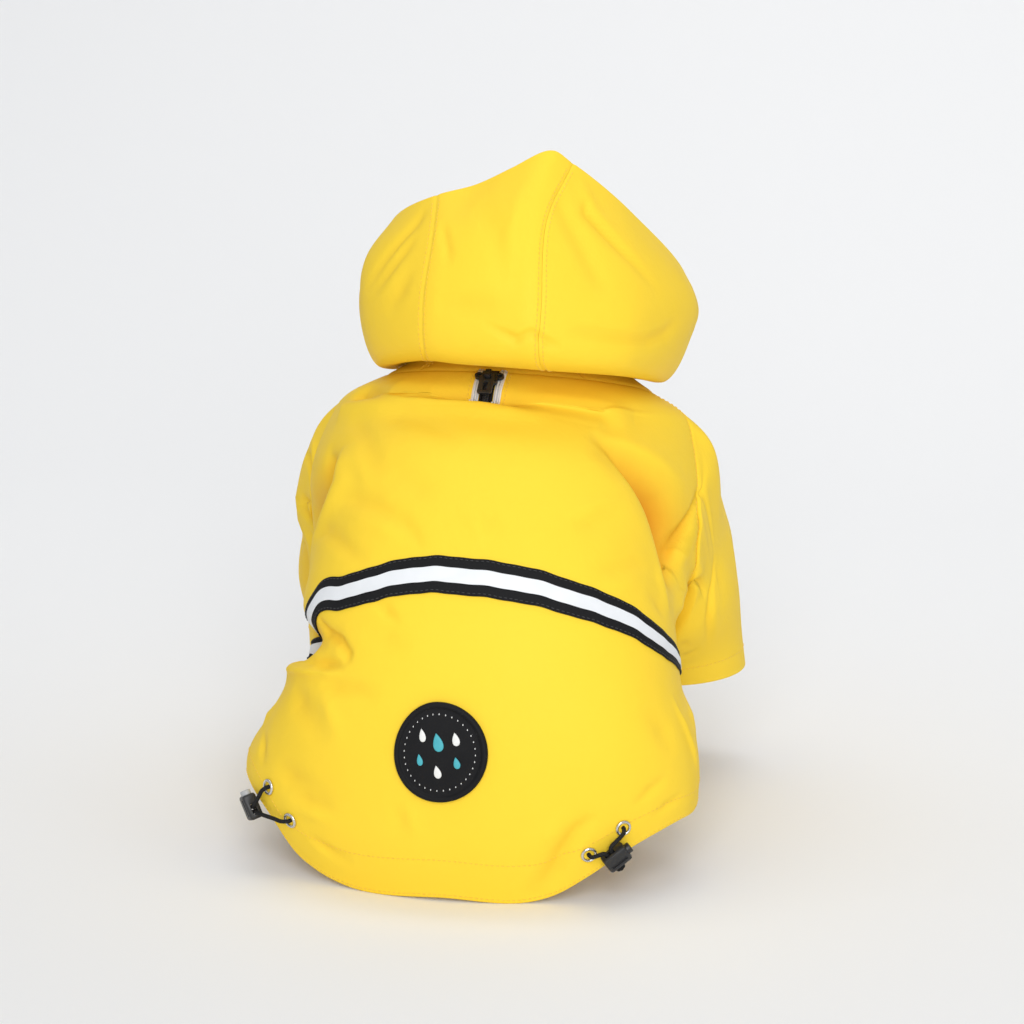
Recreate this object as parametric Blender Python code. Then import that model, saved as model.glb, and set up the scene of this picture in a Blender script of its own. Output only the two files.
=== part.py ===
"""A hooded dog raincoat in the hollow form that it has when it is worn by a seated dog.

Sizes in the tables are millimetres from the floor under the seat of the coat: +X is the
wearer's right, +Y is forward and +Z is up. MM turns them into metres, and HOLD moves the
whole coat so that its origin lies inside the back, where the wearer's withers carry it.
"""

import math

import bmesh
import bpy
import numpy as np
from mathutils import Matrix, Vector

MM = 0.001
HOLD = np.array([0.0, 82.0, 246.0])

# Cloth and seams
WALL = 1.6
HEM_WALL = 2.8
GAP = 0.3
CASING = 36.0

# Length of the back, down the centre from the neckline to the hem
LENGTH = 306.0
# How far down the armhole ends
ARMPIT = 78.0


def table(names, rows):
    """A dictionary with one array for each named column; the first entry of a row is its label."""
    return dict(zip(names, np.array([row[1:] for row in rows], float).T))


# The body of the coat, a section for each station down the back. A section is a rounded ring
# through its centre-back and centre-front points; square 2 is an ellipse, more is boxier.
BODY = table(
    ("down", "back_y", "back_z", "front_y", "front_z", "left", "right", "square"),
    (
        ("neckline", 0, 132, 273, 264, 228, 70, 70, 2.0),
        ("yoke", 14, 120, 268, 276, 210, 90, 90, 2.0),
        ("blade", 32, 105, 262, 283, 184, 99, 97, 2.0),
        ("shoulder", 62, 80, 250, 228, 134, 101, 102, 2.1),
        ("rib", 95, 55, 228, 182, 116, 90, 97, 2.2),
        ("band", 139, 28, 193, 158, 110, 87, 101, 2.3),
        ("loin", 187, 8, 150, 150, 107, 88, 106, 2.3),
        ("seat", 230, -3, 108, 145, 104, 101, 114, 2.2),
        ("tail", 266, -2, 72, 141, 102, 112, 117, 2.1),
        ("hem", 306, 6, 33, 138, 100, 107, 116, 2.0),
    ),
)

# Folds pressed into the body, each along a line from end a to end b, with its width and height
# at both. Height is out of the cloth, negative for a trough. On its hem side a fold is narrower
# by the share steep.
FOLDS = table(
    ("turn_a", "down_a", "turn_b", "down_b", "width_a", "width_b", "height_a", "height_b", "steep"),
    (
        ("yoke ridge", -52, 30, 34, 39, 7, 7, 4, 3, 1.0),
        ("yoke crease", -50, 20, 36, 29, 7, 7, -5, -4, 1.0),
        ("right armhole trough", 38, 54, 76, 82, 8, 18, -3, -16, 0.85),
        ("left armhole trough", -49, 64, -78, 84, 8, 16, -3, -15, 0.75),
        ("left waist pinch", -42, 172, -84, 163, 9, 13, -2, -18, 1.0),
        ("left hip ridge", -50, 184, -92, 190, 10, 10, 2, 4, 1.0),
    ),
)

# The hem is hitched up off its station by this much at each turn, most at the right cord lock
HEM_LIFT = table(
    ("turn", "lift"),
    (
        ("left seam", -110, 0),
        ("left flank", -98, 12),
        ("beyond left", -88, 24),
        ("left lock", -77, 32),
        ("left corner", -64, 32),
        ("left eyelet", -54, 24),
        ("left", -46, 8),
        ("left of centre", -38, 3),
        ("low left", -29, 1),
        ("centre back", 0, 5),
        ("right", 30, 4),
        ("right corner", 38, 11),
        ("right lock", 49, 21),
        ("beyond right", 60, 25),
        ("right flank", 72, 23),
        ("far right", 84, 14),
        ("right seam", 110, 0),
    ),
)
HEM_EASE = 80.0

# The raglan seam of one side, as (turn, down) with turn in degrees from the centre back. Path
# runs from the back of the neckline to the armpit at 1, on to the front of the neckline at 2,
# and along the neckline back to the start at 3. The side seam runs on down from the armpit.
ARMHOLE = table(
    ("path", "turn", "down"),
    (
        ("neck back", 0.0, 78, 0),
        ("blade", 0.35, 78, 24),
        ("arm back", 0.7, 84, 50),
        ("armpit back", 0.9, 98, 71),
        ("armpit", 1.0, 110, ARMPIT),
        ("armpit front", 1.1, 121, 73),
        ("arm front", 1.35, 132, 53),
        ("chest", 1.7, 130, 26),
        ("neck front", 2.0, 120, 0),
    ),
)


# The band round the waist and the stripe on it
BAND_DOWN = 139.0
BAND_WIDTH = 17.5
BAND_THICK = 0.8
STRIPE_WIDTH = 8.0
STRIPE_THICK = 0.5

# How far the band sags below its station at each turn; round the front it runs level
BAND_SAG = table(
    ("turn", "sag"),
    (
        ("left seam", -110, 37),
        ("left flank", -90, 36),
        ("below the pinch", -75, 33),
        ("in the pinch", -63, 25),
        ("above the pinch", -55, 13),
        ("left ribs", -48, 7),
        ("left back", -36, 6),
        ("left of centre", -26, 1),
        ("crest", 0, -4.5),
        ("right of centre", 18, -3),
        ("right back", 36, 1),
        ("right ribs", 52, 6),
        ("right flank", 69, 14),
        ("right seam", 110, 22),
        ("chest", 180, 28),
        ("round to the left seam", 250, 37),
    ),
)
SAG_TOP = 98.0
SAG_END = 262.0

# Where the sleeve's lines start on the seam, closer together round the armpit. The panels have
# rows at the same places, and the back panel at half steps across the folds behind the neck.
SEAM_BACK = np.array([0, 0.13, 0.26, 0.39, 0.52, 0.64, 0.75, 0.85, 0.93, 1.0])
SEAM_FRONT = np.array([1.0, 1.07, 1.15, 1.24, 1.34, 1.46, 1.58, 1.7, 1.85, 2.0])
SEAM_NECK = np.array([2.25, 2.5, 2.75])
FOLD_ROWS = np.array([0.065, 0.195, 0.325, 0.455])
# Rows of both panels below the armpit, as distances down; the band lies between four of them
SIDE_ROWS = np.array(
    [ARMPIT, 88, 98, 109, 120]
    + [BAND_DOWN + k for k in (-BAND_WIDTH / 2, -STRIPE_WIDTH / 2, STRIPE_WIDTH / 2, BAND_WIDTH / 2)]
    + [156, 164, 172, 180, 189, 200, 214, 230, 248, 266, 270, 282, 294, LENGTH]
)


def smooth(stations, values, at):
    """Cubic curve through values at stations, with the mean slope of both sides at each."""
    x = np.asarray(stations, float)
    y = np.asarray(values, float)
    at = np.asarray(at, float)
    flat = y.reshape(len(x), -1)
    step = np.diff(x)[:, None]
    rise = np.diff(flat, axis=0) / step
    slope = np.vstack([rise[:1], (rise[:-1] * step[1:] + rise[1:] * step[:-1]) / (step[:-1] + step[1:]), rise[-1:]])
    k = np.clip(np.searchsorted(x, at, side="right") - 1, 0, len(x) - 2)
    h = (x[k + 1] - x[k])[..., None]
    t = (at - x[k])[..., None] / h
    out = (
        (2 * t**3 - 3 * t**2 + 1) * flat[k]
        + (t**3 - 2 * t**2 + t) * h * slope[k]
        + (3 * t**2 - 2 * t**3) * flat[k + 1]
        + (t**3 - t**2) * h * slope[k + 1]
    )
    return out.reshape(at.shape + y.shape[1:])


def ramp(low, high, value):
    """0 at low, 1 at high, easing in and out between them."""
    t = np.clip((value - low) / (high - low), 0, 1)
    return t * t * (3 - 2 * t)


def unit(v):
    return v / np.linalg.norm(v, axis=-1, keepdims=True)


# ---------------------------------------------------------------- the body as one surface


def plain_body(turn, down):
    """Body without folds: the ring of this station, as far round as turn."""
    turn, down = np.broadcast_arrays(np.asarray(turn, float), np.asarray(down, float))
    c = {name: smooth(BODY["down"], BODY[name], down) for name in BODY if name != "down"}
    a = np.radians(turn)
    power = c["square"]
    reach = (np.abs(np.cos(a)) ** power + np.abs(np.sin(a)) ** power) ** (-1 / power)
    half = np.where(turn < 0, c["left"], c["right"])
    share = (1 + np.cos(a) * reach) / 2
    return np.stack(
        [
            half * np.sin(a) * reach,
            c["front_y"] + (c["back_y"] - c["front_y"]) * share,
            c["front_z"] + (c["back_z"] - c["front_z"]) * share,
        ],
        axis=-1,
    )


TURN_STEP = 0.25
DOWN_STEP = 0.5
# Millimetres round the body for a radian of turn, used to measure how far a fold reaches
ROUND = 100.0


def out_of(surface, turn, down):
    """Unit normal of a (turn, down) surface, out of the coat."""
    across = surface(turn + TURN_STEP, down) - surface(turn - TURN_STEP, down)
    along = surface(turn, down + DOWN_STEP) - surface(turn, down - DOWN_STEP)
    return unit(np.cross(along, across))


def fold_height(turn, down):
    """Sum of all folds at (turn, down), each a soft ridge or trough along its own line."""
    x, y = np.radians(turn) * ROUND, down
    total = np.zeros(np.broadcast(turn, down).shape)
    for i in range(len(FOLDS["steep"])):
        f = {name: column[i] for name, column in FOLDS.items()}
        ax, ay = math.radians(f["turn_a"]) * ROUND, f["down_a"]
        bx, by = math.radians(f["turn_b"]) * ROUND, f["down_b"]
        length = math.hypot(bx - ax, by - ay)
        ux, uy = (bx - ax) / length, (by - ay) / length
        along = np.clip((x - ax) * ux + (y - ay) * uy, 0, length)
        away = np.hypot(x - ax - along * ux, y - ay - along * uy)
        share = along / length
        width = f["width_a"] * (1 - share) + f["width_b"] * share
        hem_side = ((y - ay) * ux - (x - ax) * uy) * math.copysign(1, ux) > 0
        width = np.where(hem_side, width * f["steep"], width)
        height = f["height_a"] * (1 - share) + f["height_b"] * share
        total = total + height * np.exp(-((away / width) ** 2))
    return total


def folded(turn, down):
    """Outer face of the coat's body, folds included."""
    turn, down = np.broadcast_arrays(np.asarray(turn, float), np.asarray(down, float))
    return plain_body(turn, down) + fold_height(turn, down)[..., None] * out_of(plain_body, turn, down)


def coat(turn, down, out=0.0):
    """A point on the coat's outer face, moved out of the cloth by out."""
    turn, down = np.broadcast_arrays(np.asarray(turn, float), np.asarray(down, float))
    lift = np.asarray(out, float)
    return folded(turn, down) + lift[..., None] * out_of(folded, turn, down)


# ---------------------------------------------------------------- meshes and materials

FINISHES = {
    "shell": ((0.95, 0.62, 0.035), 0.55, 0.0),
    "black_tape": ((0.012, 0.012, 0.013), 0.7, 0.0),
    "silver_tape": ((0.75, 0.79, 0.84), 0.35, 0.0),
    "rubber": ((0.015, 0.015, 0.016), 0.6, 0.0),
    "plastic": ((0.014, 0.014, 0.015), 0.4, 0.0),
    "metal": ((0.55, 0.56, 0.58), 0.3, 1.0),
    "cord": ((0.012, 0.012, 0.012), 0.8, 0.0),
}

for old in list(bpy.data.objects):
    bpy.data.objects.remove(old, do_unlink=True)

PARTS = bpy.data.collections.new("dog_raincoat")
CUTTERS = bpy.data.collections.new("cutters")
bpy.context.scene.collection.children.link(PARTS)
bpy.context.scene.collection.children.link(CUTTERS)


def material(name, finish):
    """A material of its own for one piece."""
    colour, roughness, metallic = FINISHES[finish]
    made = bpy.data.materials.new(name)
    made.use_nodes = True
    shader = made.node_tree.nodes["Principled BSDF"]
    shader.inputs["Base Color"].default_value = (*colour, 1.0)
    shader.inputs["Roughness"].default_value = roughness
    shader.inputs["Metallic"].default_value = metallic
    made.diffuse_color = (*colour, 1.0)
    return made


def piece(name, mesh, finish):
    """Put a mesh in the parts collection as one named piece."""
    made = bpy.data.objects.new(name, mesh)
    mesh.materials.clear()
    mesh.materials.append(material(name, finish))
    mesh.shade_smooth()
    mesh.set_sharp_from_angle(angle=math.radians(40))
    PARTS.objects.link(made)
    return made


def mesh_of(name, points, faces):
    """A mesh from points in millimetres, moved to the origin inside the back."""
    mesh = bpy.data.meshes.new(name)
    mesh.from_pydata(((np.asarray(points) - HOLD) * MM).tolist(), [], [list(map(int, f)) for f in faces])
    work = bmesh.new()
    work.from_mesh(mesh)
    bmesh.ops.recalc_face_normals(work, faces=work.faces)
    work.to_mesh(mesh)
    work.free()
    return mesh


def quads(grid, wrap):
    """Four-sided faces between the rows of a grid of point numbers, wrap closing each row."""
    right = np.roll(grid, -1, axis=1) if wrap else grid[:, 1:]
    left = grid if wrap else grid[:, :-1]
    return np.stack([left[:-1], right[:-1], right[1:], left[1:]], axis=-1).reshape(-1, 4)


def wall(name, outer, inner, finish, wrap=False):
    """A closed wall of cloth between two grids of points; wrap joins each row to a ring."""
    rows, columns = outer.shape[:2]
    face = np.arange(rows * columns).reshape(rows, columns)
    back = face + rows * columns
    faces = [quads(face, wrap), quads(back, wrap)]
    faces += [quads(np.stack([face[i], back[i]]), wrap) for i in (0, -1)]
    if not wrap:
        faces += [quads(np.stack([face[:, i], back[:, i]]), False) for i in (0, -1)]
    points = np.concatenate([outer.reshape(-1, 3), inner.reshape(-1, 3)])
    return piece(name, mesh_of(name, points, np.concatenate(faces)), finish)


# ---------------------------------------------------------------- body panels


def side_edge(half, side, rows):
    """The (turn, down) line of a panel's side: its half of the raglan seam, then the side seam.

    half is "back" or "front". rows run from 0 at the neckline to 1 at the armpit and 2 at the hem.
    """
    path = np.clip(rows, 0, 1) if half == "back" else 2 - np.clip(rows, 0, 1)
    turn = smooth(ARMHOLE["path"], ARMHOLE["turn"], path)
    down = smooth(ARMHOLE["path"], ARMHOLE["down"], path)
    under = np.clip(rows - 1, 0, 1)
    down = np.where(rows > 1, ARMPIT + (LENGTH - ARMPIT) * under, down)
    return side * turn, down


def degrees_of(gap, turn, down):
    """The turn that moves a point of the body sideways by gap."""
    reach = np.linalg.norm(folded(turn + TURN_STEP, down) - folded(turn - TURN_STEP, down), axis=-1)
    return gap * 2 * TURN_STEP / reach


def hitched(turn, down):
    """Down moved so that the rows follow the sag of the band and, near the hem, its lift."""
    sag = smooth(BAND_SAG["turn"], BAND_SAG["sag"], turn)
    lift = smooth(HEM_LIFT["turn"], HEM_LIFT["lift"], np.clip(turn, -110, 110))
    low, high = BAND_DOWN - BAND_WIDTH / 2, BAND_DOWN + BAND_WIDTH / 2
    held = ramp(SAG_TOP, low, down) - ramp(high, SAG_END, down)
    return down + sag * held - lift * ramp(LENGTH - HEM_EASE, LENGTH, down)


def wall_at(down):
    """Thickness of the body's cloth, doubled where the hem is turned up over the cord."""
    return WALL + (HEM_WALL - WALL) * ramp(LENGTH - CASING - 4, LENGTH - CASING, down)


def body_rows(raglan):
    """Rows of a panel: those on the raglan seam, then those down the side."""
    return np.concatenate([raglan[:-1], 1 + (SIDE_ROWS - ARMPIT) / (LENGTH - ARMPIT)])


BACK_ROWS = body_rows(np.sort(np.concatenate([SEAM_BACK, FOLD_ROWS])))
BACK_COLUMNS = np.linspace(0, 1, 39)


def back_line(rows, across):
    """(turn, down) on the back panel at these rows, across running from its left edge to its right."""
    left_turn, left_down = side_edge("back", -1, rows)
    right_turn, right_down = side_edge("back", 1, rows)
    left_turn = left_turn + degrees_of(GAP / 2, left_turn, left_down)
    right_turn = right_turn - degrees_of(GAP / 2, right_turn, right_down)
    share = np.asarray(across)[None, :]
    return (
        left_turn[:, None] * (1 - share) + right_turn[:, None] * share,
        left_down[:, None] * (1 - share) + right_down[:, None] * share,
    )


def make_back_panel():
    """The back, from the neckline to the long rounded hem, between the raglan and side seams."""
    turn, down = back_line(BACK_ROWS, BACK_COLUMNS)
    thick = wall_at(down)
    down = hitched(turn, down)
    return wall("back_panel", coat(turn, down), coat(turn, down, -thick), "shell")


def make_front_panel():
    """The chest and belly, plain, between the same seams."""
    rows = body_rows(2 - SEAM_FRONT[::-1])
    across = np.linspace(0, 1, 15)[None, :]
    right_turn, right_down = side_edge("front", 1, rows)
    left_turn, left_down = side_edge("front", -1, rows)
    right_turn = right_turn + degrees_of(GAP / 2, right_turn, right_down)
    left_turn = left_turn - degrees_of(GAP / 2, left_turn, left_down) + 360
    turn = right_turn[:, None] * (1 - across) + left_turn[:, None] * across
    down = right_down[:, None] * (1 - across) + left_down[:, None] * across
    thick = wall_at(down)
    down = hitched(turn, down)
    turn = np.where(turn > 180, turn - 360, turn)
    return wall("front_panel", coat(turn, down), coat(turn, down, -thick), "shell")


# ---------------------------------------------------------------- sleeves

# Rings of the right sleeve below its cap: reach is how far down the sleeve, then the centre,
# the half size fore and aft, how much the back of the ring hangs down, and how far its outer
# side lies out and up from the centre and its inner side in and down.
SLEEVE = table(
    ("reach", "x", "y", "z", "fore", "drop", "out", "up", "inside", "low"),
    (
        ("upper arm", 0.42, 99, 202, 157, 36, 8, 9, 20, 16, 13),
        ("elbow", 0.66, 88, 208, 130, 38, 6, 26, 14, 24, 12),
        ("wrist", 0.88, 80, 226, 106, 36, 3, 34, 6, 32, 6),
        ("cuff", 1.00, 78, 233, 92, 36, 0, 37, 2, 35, 2),
    ),
)
# Where the lines of the seam meet the round of the sleeve: 0 back, 90 outer side, 180 front
SLEEVE_ROUND = table(
    ("path", "angle"),
    (
        ("neck back", 0, 104),
        ("blade", 0.35, 82),
        ("arm back", 0.7, 56),
        ("below", 0.9, 28),
        ("armpit", 1.0, 0),
        ("armpit front", 1.1, -44),
        ("arm front", 1.35, -125),
        ("chest", 1.7, -202),
        ("neck front", 2, -234),
        ("neckline", 3, -256),
    ),
)
# The cap lies this share of the way from the seam to the upper arm, and its outer side stands
# proud of that straight way by the crown. Under the arm it leaves the seam by the gusset, at
# an angle to the body of this many degrees.
CAP_SHARE = 0.35
CAP_REACH = 0.17
CROWN = np.array([6.0, 0.0, 7.0])
CROWN_LEAST = 0.45
TUCK = 2.5
GUSSET = 5.0
GUSSET_ANGLE = 65.0


def armhole(path, side):
    """(turn, down) round the armhole: the raglan seam to path 2, then back along the neckline."""
    seam = np.clip(path, 0, 2)
    turn = smooth(ARMHOLE["path"], ARMHOLE["turn"], seam)
    down = smooth(ARMHOLE["path"], ARMHOLE["down"], seam)
    neck = np.clip(path - 2, 0, 1)
    turn = np.where(path > 2, ARMHOLE["turn"][-1] * (1 - neck) + ARMHOLE["turn"][0] * neck, turn)
    return side * turn, np.where(path > 2, 0.0, down)


def make_sleeve(name, side, spread):
    """A raglan sleeve: a tube from the armhole over the shoulder's crown to the open cuff.

    side is 1 on the right and -1 on the left, and spread moves the arm out from the body.
    """
    path = np.concatenate([SEAM_BACK, SEAM_FRONT[1:], SEAM_NECK])
    turn, down = armhole(path, side)
    edge = coat(turn, down)
    thick = edge - coat(turn, down, -WALL)
    mirror = np.array([side, 1.0, 1.0])
    inward = unit(np.cross(np.roll(edge, -1, axis=0) - np.roll(edge, 1, axis=0), thick) * -side)
    angle = np.radians(np.interp(path, SLEEVE_ROUND["path"], SLEEVE_ROUND["angle"]))
    rings = [edge + GAP * inward]
    for i in range(len(SLEEVE["reach"])):
        s = {name: column[i] for name, column in SLEEVE.items()}
        ring = np.array([s["x"] + spread, s["y"], s["z"]]) + np.cos(angle)[:, None] * [0, -s["fore"], -s["drop"]]
        ring = ring + np.maximum(np.sin(angle), 0)[:, None] * [s["out"], 0, s["up"]]
        ring = ring + np.minimum(np.sin(angle), 0)[:, None] * [s["inside"], 0, s["low"]]
        rings.append(ring * mirror)
    crown = rings[0] * (1 - CAP_SHARE) + rings[1] * CAP_SHARE
    proud = CROWN_LEAST + (1 - CROWN_LEAST) * np.maximum(np.sin(angle), 0) ** 2
    crown = crown + proud[:, None] * CROWN * mirror + TUCK * inward
    lean = math.radians(GUSSET_ANGLE)
    gusset = rings[0] + GUSSET * (math.cos(lean) * inward + math.sin(lean) * unit(thick))
    under = (ramp(0.45, 0.85, path) - ramp(1.4, 1.8, path))[:, None]
    cap = crown * (1 - under) + gusset * under
    rings.insert(1, cap)
    stations = [0.0, CAP_REACH, *SLEEVE["reach"]]
    reach = np.array([0, 0.05, 0.1, 0.16, 0.22, 0.3, 0.38, 0.47, 0.56, 0.65, 0.74, 0.82, 0.895, 0.95, 1.0])
    outer = smooth(stations, np.stack(rings), reach)
    along = np.gradient(outer, axis=0)
    round_ = np.roll(outer, -1, axis=1) - np.roll(outer, 1, axis=1)
    normal = unit(np.cross(round_, along) * side)
    hem = ramp(0.87, 0.895, reach)[:, None, None]
    inner = outer - (WALL + (HEM_WALL - WALL) * hem) * normal
    return wall(name, outer, inner, "shell", wrap=True)


# ---------------------------------------------------------------- hood

# Sections round the neck, station -1 and 1 at the throat and 0 at the centre back. Each runs
# from the neck seam up a short stand, back and down to the lip, up over the bulge to the brim.
HOOD = table(
    (
        "station",
        *("lip_x", "lip_y", "lip_z"),
        *("bulge_x", "bulge_y", "bulge_z"),
        *("crown_x", "crown_y", "crown_z"),
        *("brim_x", "brim_y", "brim_z"),
    ),
    (
        ("throat left", -1.00, 0, 280, 238, 0, 284, 246, 0, 284, 252, 0, 282, 258),
        ("cheek left", -0.78, -54, 252, 246, -57, 254, 258, -56, 254, 265, -53, 252, 272),
        ("side left", -0.56, -70, 195, 257, -76, 192, 282, -75, 200, 296, -70, 208, 306),
        ("corner left", -0.38, -60, 140, 272, -69, 136, 306, -69, 148, 326, -60, 166, 341),
        ("seam left", -0.20, -29, 108, 283, -28, 98, 318, -27, 114, 344, -30, 138, 361),
        ("back left", -0.10, -14, 103, 283, -14, 93, 320, -12, 110, 348, -10, 138, 367),
        ("back", 0.00, 0, 101, 283, 2, 91, 322, 5, 108, 352, 8, 137, 376),
        ("peak", 0.10, 14, 100, 283, 17, 91, 322, 18, 110, 356, 26, 140, 385),
        ("seam right", 0.22, 32, 102, 282, 33, 93, 320, 31, 114, 354, 38, 146, 378),
        ("corner right", 0.40, 68, 128, 275, 76, 128, 306, 72, 144, 332, 64, 168, 350),
        ("side right", 0.58, 77, 190, 258, 92, 188, 286, 94, 196, 298, 86, 204, 310),
        ("cheek right", 0.78, 56, 252, 246, 62, 254, 258, 61, 254, 265, 58, 254, 272),
        ("throat right", 1.00, 0, 280, 238, 0, 284, 246, 0, 284, 252, 0, 282, 258),
    ),
)
STAND = 13.0
SEAM_LEFT = -0.20
SEAM_RIGHT = 0.22
HOOD_REACH = np.array([0, 0.1, 0.3, 0.6, 0.8, 1.0])
HOOD_ROWS = np.array([0, 0.05, 0.1, 0.13, 0.17, 0.22, 0.26, 0.3, 0.34, 0.4, 0.48, 0.6, 0.74, 0.88, 0.94, 1.0])


def hood_grid(station, rows):
    """Outer face of the hood at stations round the neck and rows from the neck seam to the brim."""
    turn = 180 * station
    seam = coat(turn, -GAP)
    rise = unit(coat(turn, -4.0) - coat(turn, 0.0))
    stand = seam + STAND * rise
    rails = [seam, stand]
    for rail in ("lip", "bulge", "crown", "brim"):
        rails.append(np.stack([smooth(HOOD["station"], HOOD[f"{rail}_{k}"], station) for k in "xyz"], axis=-1))
    return smooth(HOOD_REACH, np.stack(rails), rows)


def make_hood_panel(name, first, last, columns):
    """One panel of the hood between two stations, 0.3 mm clear of its neighbours."""
    station = np.linspace(first, last, columns)
    inset = np.radians(180) * 60
    station[0] += GAP / 2 / inset
    station[-1] -= GAP / 2 / inset
    step = 0.002
    outer = hood_grid(station, HOOD_ROWS)
    across = hood_grid(station + step, HOOD_ROWS) - hood_grid(station - step, HOOD_ROWS)
    along = (
        hood_grid(station, np.minimum(HOOD_ROWS + step, 1))
        - hood_grid(station, np.maximum(HOOD_ROWS - step, 0))
    )
    normal = unit(np.cross(across, along))
    turn = 180 * station
    normal[0] = unit(coat(turn, 0, 1.0) - coat(turn, 0, 0.0))
    normal[:, np.abs(station) > 0.99, 0] = 0.0
    hem = ramp(0.86, 0.88, HOOD_ROWS)[:, None, None]
    inner = outer - (WALL + (HEM_WALL - WALL) * hem) * normal
    return wall(name, outer, inner, "shell")


# ---------------------------------------------------------------- tape and zip


def strip(name, rows, across, base, thick, finish):
    """A flat trim on the back panel's own rows and columns, from base to base + thick out of it."""
    turn, down = back_line(rows, across)
    down = hitched(turn, down)
    return wall(name, coat(turn, down, base + thick), coat(turn, down, base), finish)


def make_band():
    """The tape round the waist with a stripe along its middle, between the side seams."""
    low = int(np.argmin(np.abs(SIDE_ROWS - (BAND_DOWN - BAND_WIDTH / 2)))) + len(BACK_ROWS) - len(SIDE_ROWS)
    strip("band", BACK_ROWS[low : low + 4], BACK_COLUMNS, GAP, BAND_THICK, "black_tape")
    strip("band_stripe", BACK_ROWS[low + 1 : low + 3], BACK_COLUMNS, 2 * GAP + BAND_THICK, STRIPE_THICK, "silver_tape")


# The zip behind the neck: half widths of the black tape and of the silver edges beside it
ZIP_TAPE = 3.5
ZIP_EDGE = (3.8, 7.6)
ZIP_THICK = 0.8
ZIP_ROWS = np.concatenate([[0.02], BACK_ROWS[1:8]])


def zip_strip(name, low, high, thick, finish):
    """A strip along the centre back, its edges low and high millimetres to the right."""
    _, down = back_line(ZIP_ROWS, np.array([0.5, 0.5]))
    turn = degrees_of(np.array([low, high])[None, :], 0.0 * down, down)
    return wall(name, coat(turn, down, GAP + thick), coat(turn, down, GAP), finish)


def frame_at(turn, down, out, toward):
    """A matrix set on the coat: z out of the cloth, x as near as it can be to the way toward."""
    normal = unit(coat(turn, down, 1.0) - coat(turn, down))
    x = unit(toward - np.dot(toward, normal) * normal)
    matrix = Matrix((x, np.cross(normal, x), normal)).transposed().to_4x4()
    matrix.translation = Vector((coat(turn, down, out) - HOLD) * MM)
    return matrix


def local_mesh(name, points, faces, matrix):
    """A mesh from points in millimetres in the frame of matrix."""
    mesh = bpy.data.meshes.new(name)
    mesh.from_pydata([tuple(matrix @ Vector(np.asarray(p) * MM)) for p in points], [], faces)
    work = bmesh.new()
    work.from_mesh(mesh)
    bmesh.ops.recalc_face_normals(work, faces=work.faces)
    work.to_mesh(mesh)
    work.free()
    return mesh


def plate(outline, low, high):
    """Points and faces of a flat plate with this outline, between two heights."""
    n = len(outline)
    points = [(x, y, low) for x, y in outline] + [(x, y, high) for x, y in outline]
    sides = [[i, (i + 1) % n, n + (i + 1) % n, n + i] for i in range(n)]
    return points, [list(range(n))[::-1], list(range(n, 2 * n))] + sides


def arc(centre, radius, start, end, steps):
    """Points along an arc, angles in degrees."""
    angles = np.radians(np.linspace(start, end, steps))
    return [(centre[0] + radius * math.cos(a), centre[1] + radius * math.sin(a)) for a in angles]


def cutter(name, mesh):
    """A mesh that only cuts others."""
    made = bpy.data.objects.new(name, mesh)
    made.hide_render = True
    made.display_type = "WIRE"
    CUTTERS.objects.link(made)
    return made


def combine(target, tool, operation="DIFFERENCE"):
    """An exact boolean of target with tool."""
    modifier = target.modifiers.new(tool.name, "BOOLEAN")
    modifier.operation = operation
    modifier.solver = "EXACT"
    modifier.object = tool


# The slider lies on the tape, its pull hangs down the back from the middle of it
SLIDER_DOWN = 11.0
SLIDER = [(-4.6, -2.4), (-3.4, -3.9), (3.4, -3.9), (4.6, -2.4), (4.6, 1.4), (3.6, 5.2), (-3.6, 5.2), (-4.6, 1.4)]
SLIDER_THICK = 2.2
SLIDER_EARS = ((-5.3, 2.4), (5.3, 2.4))
EAR_RADIUS = 2.2
EAR_HOLE = 1.1
BRIDGE_HIGH = 3.0
PULL_LONG = 13.0
PULL_THICK = 1.2
# Where the pull's crossbar lies over the slider, down the back and out of it, and how far the
# blade hangs in from there
PULL_BAR = (0.3, 3.8)
PULL_TILT = 9.0


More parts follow.
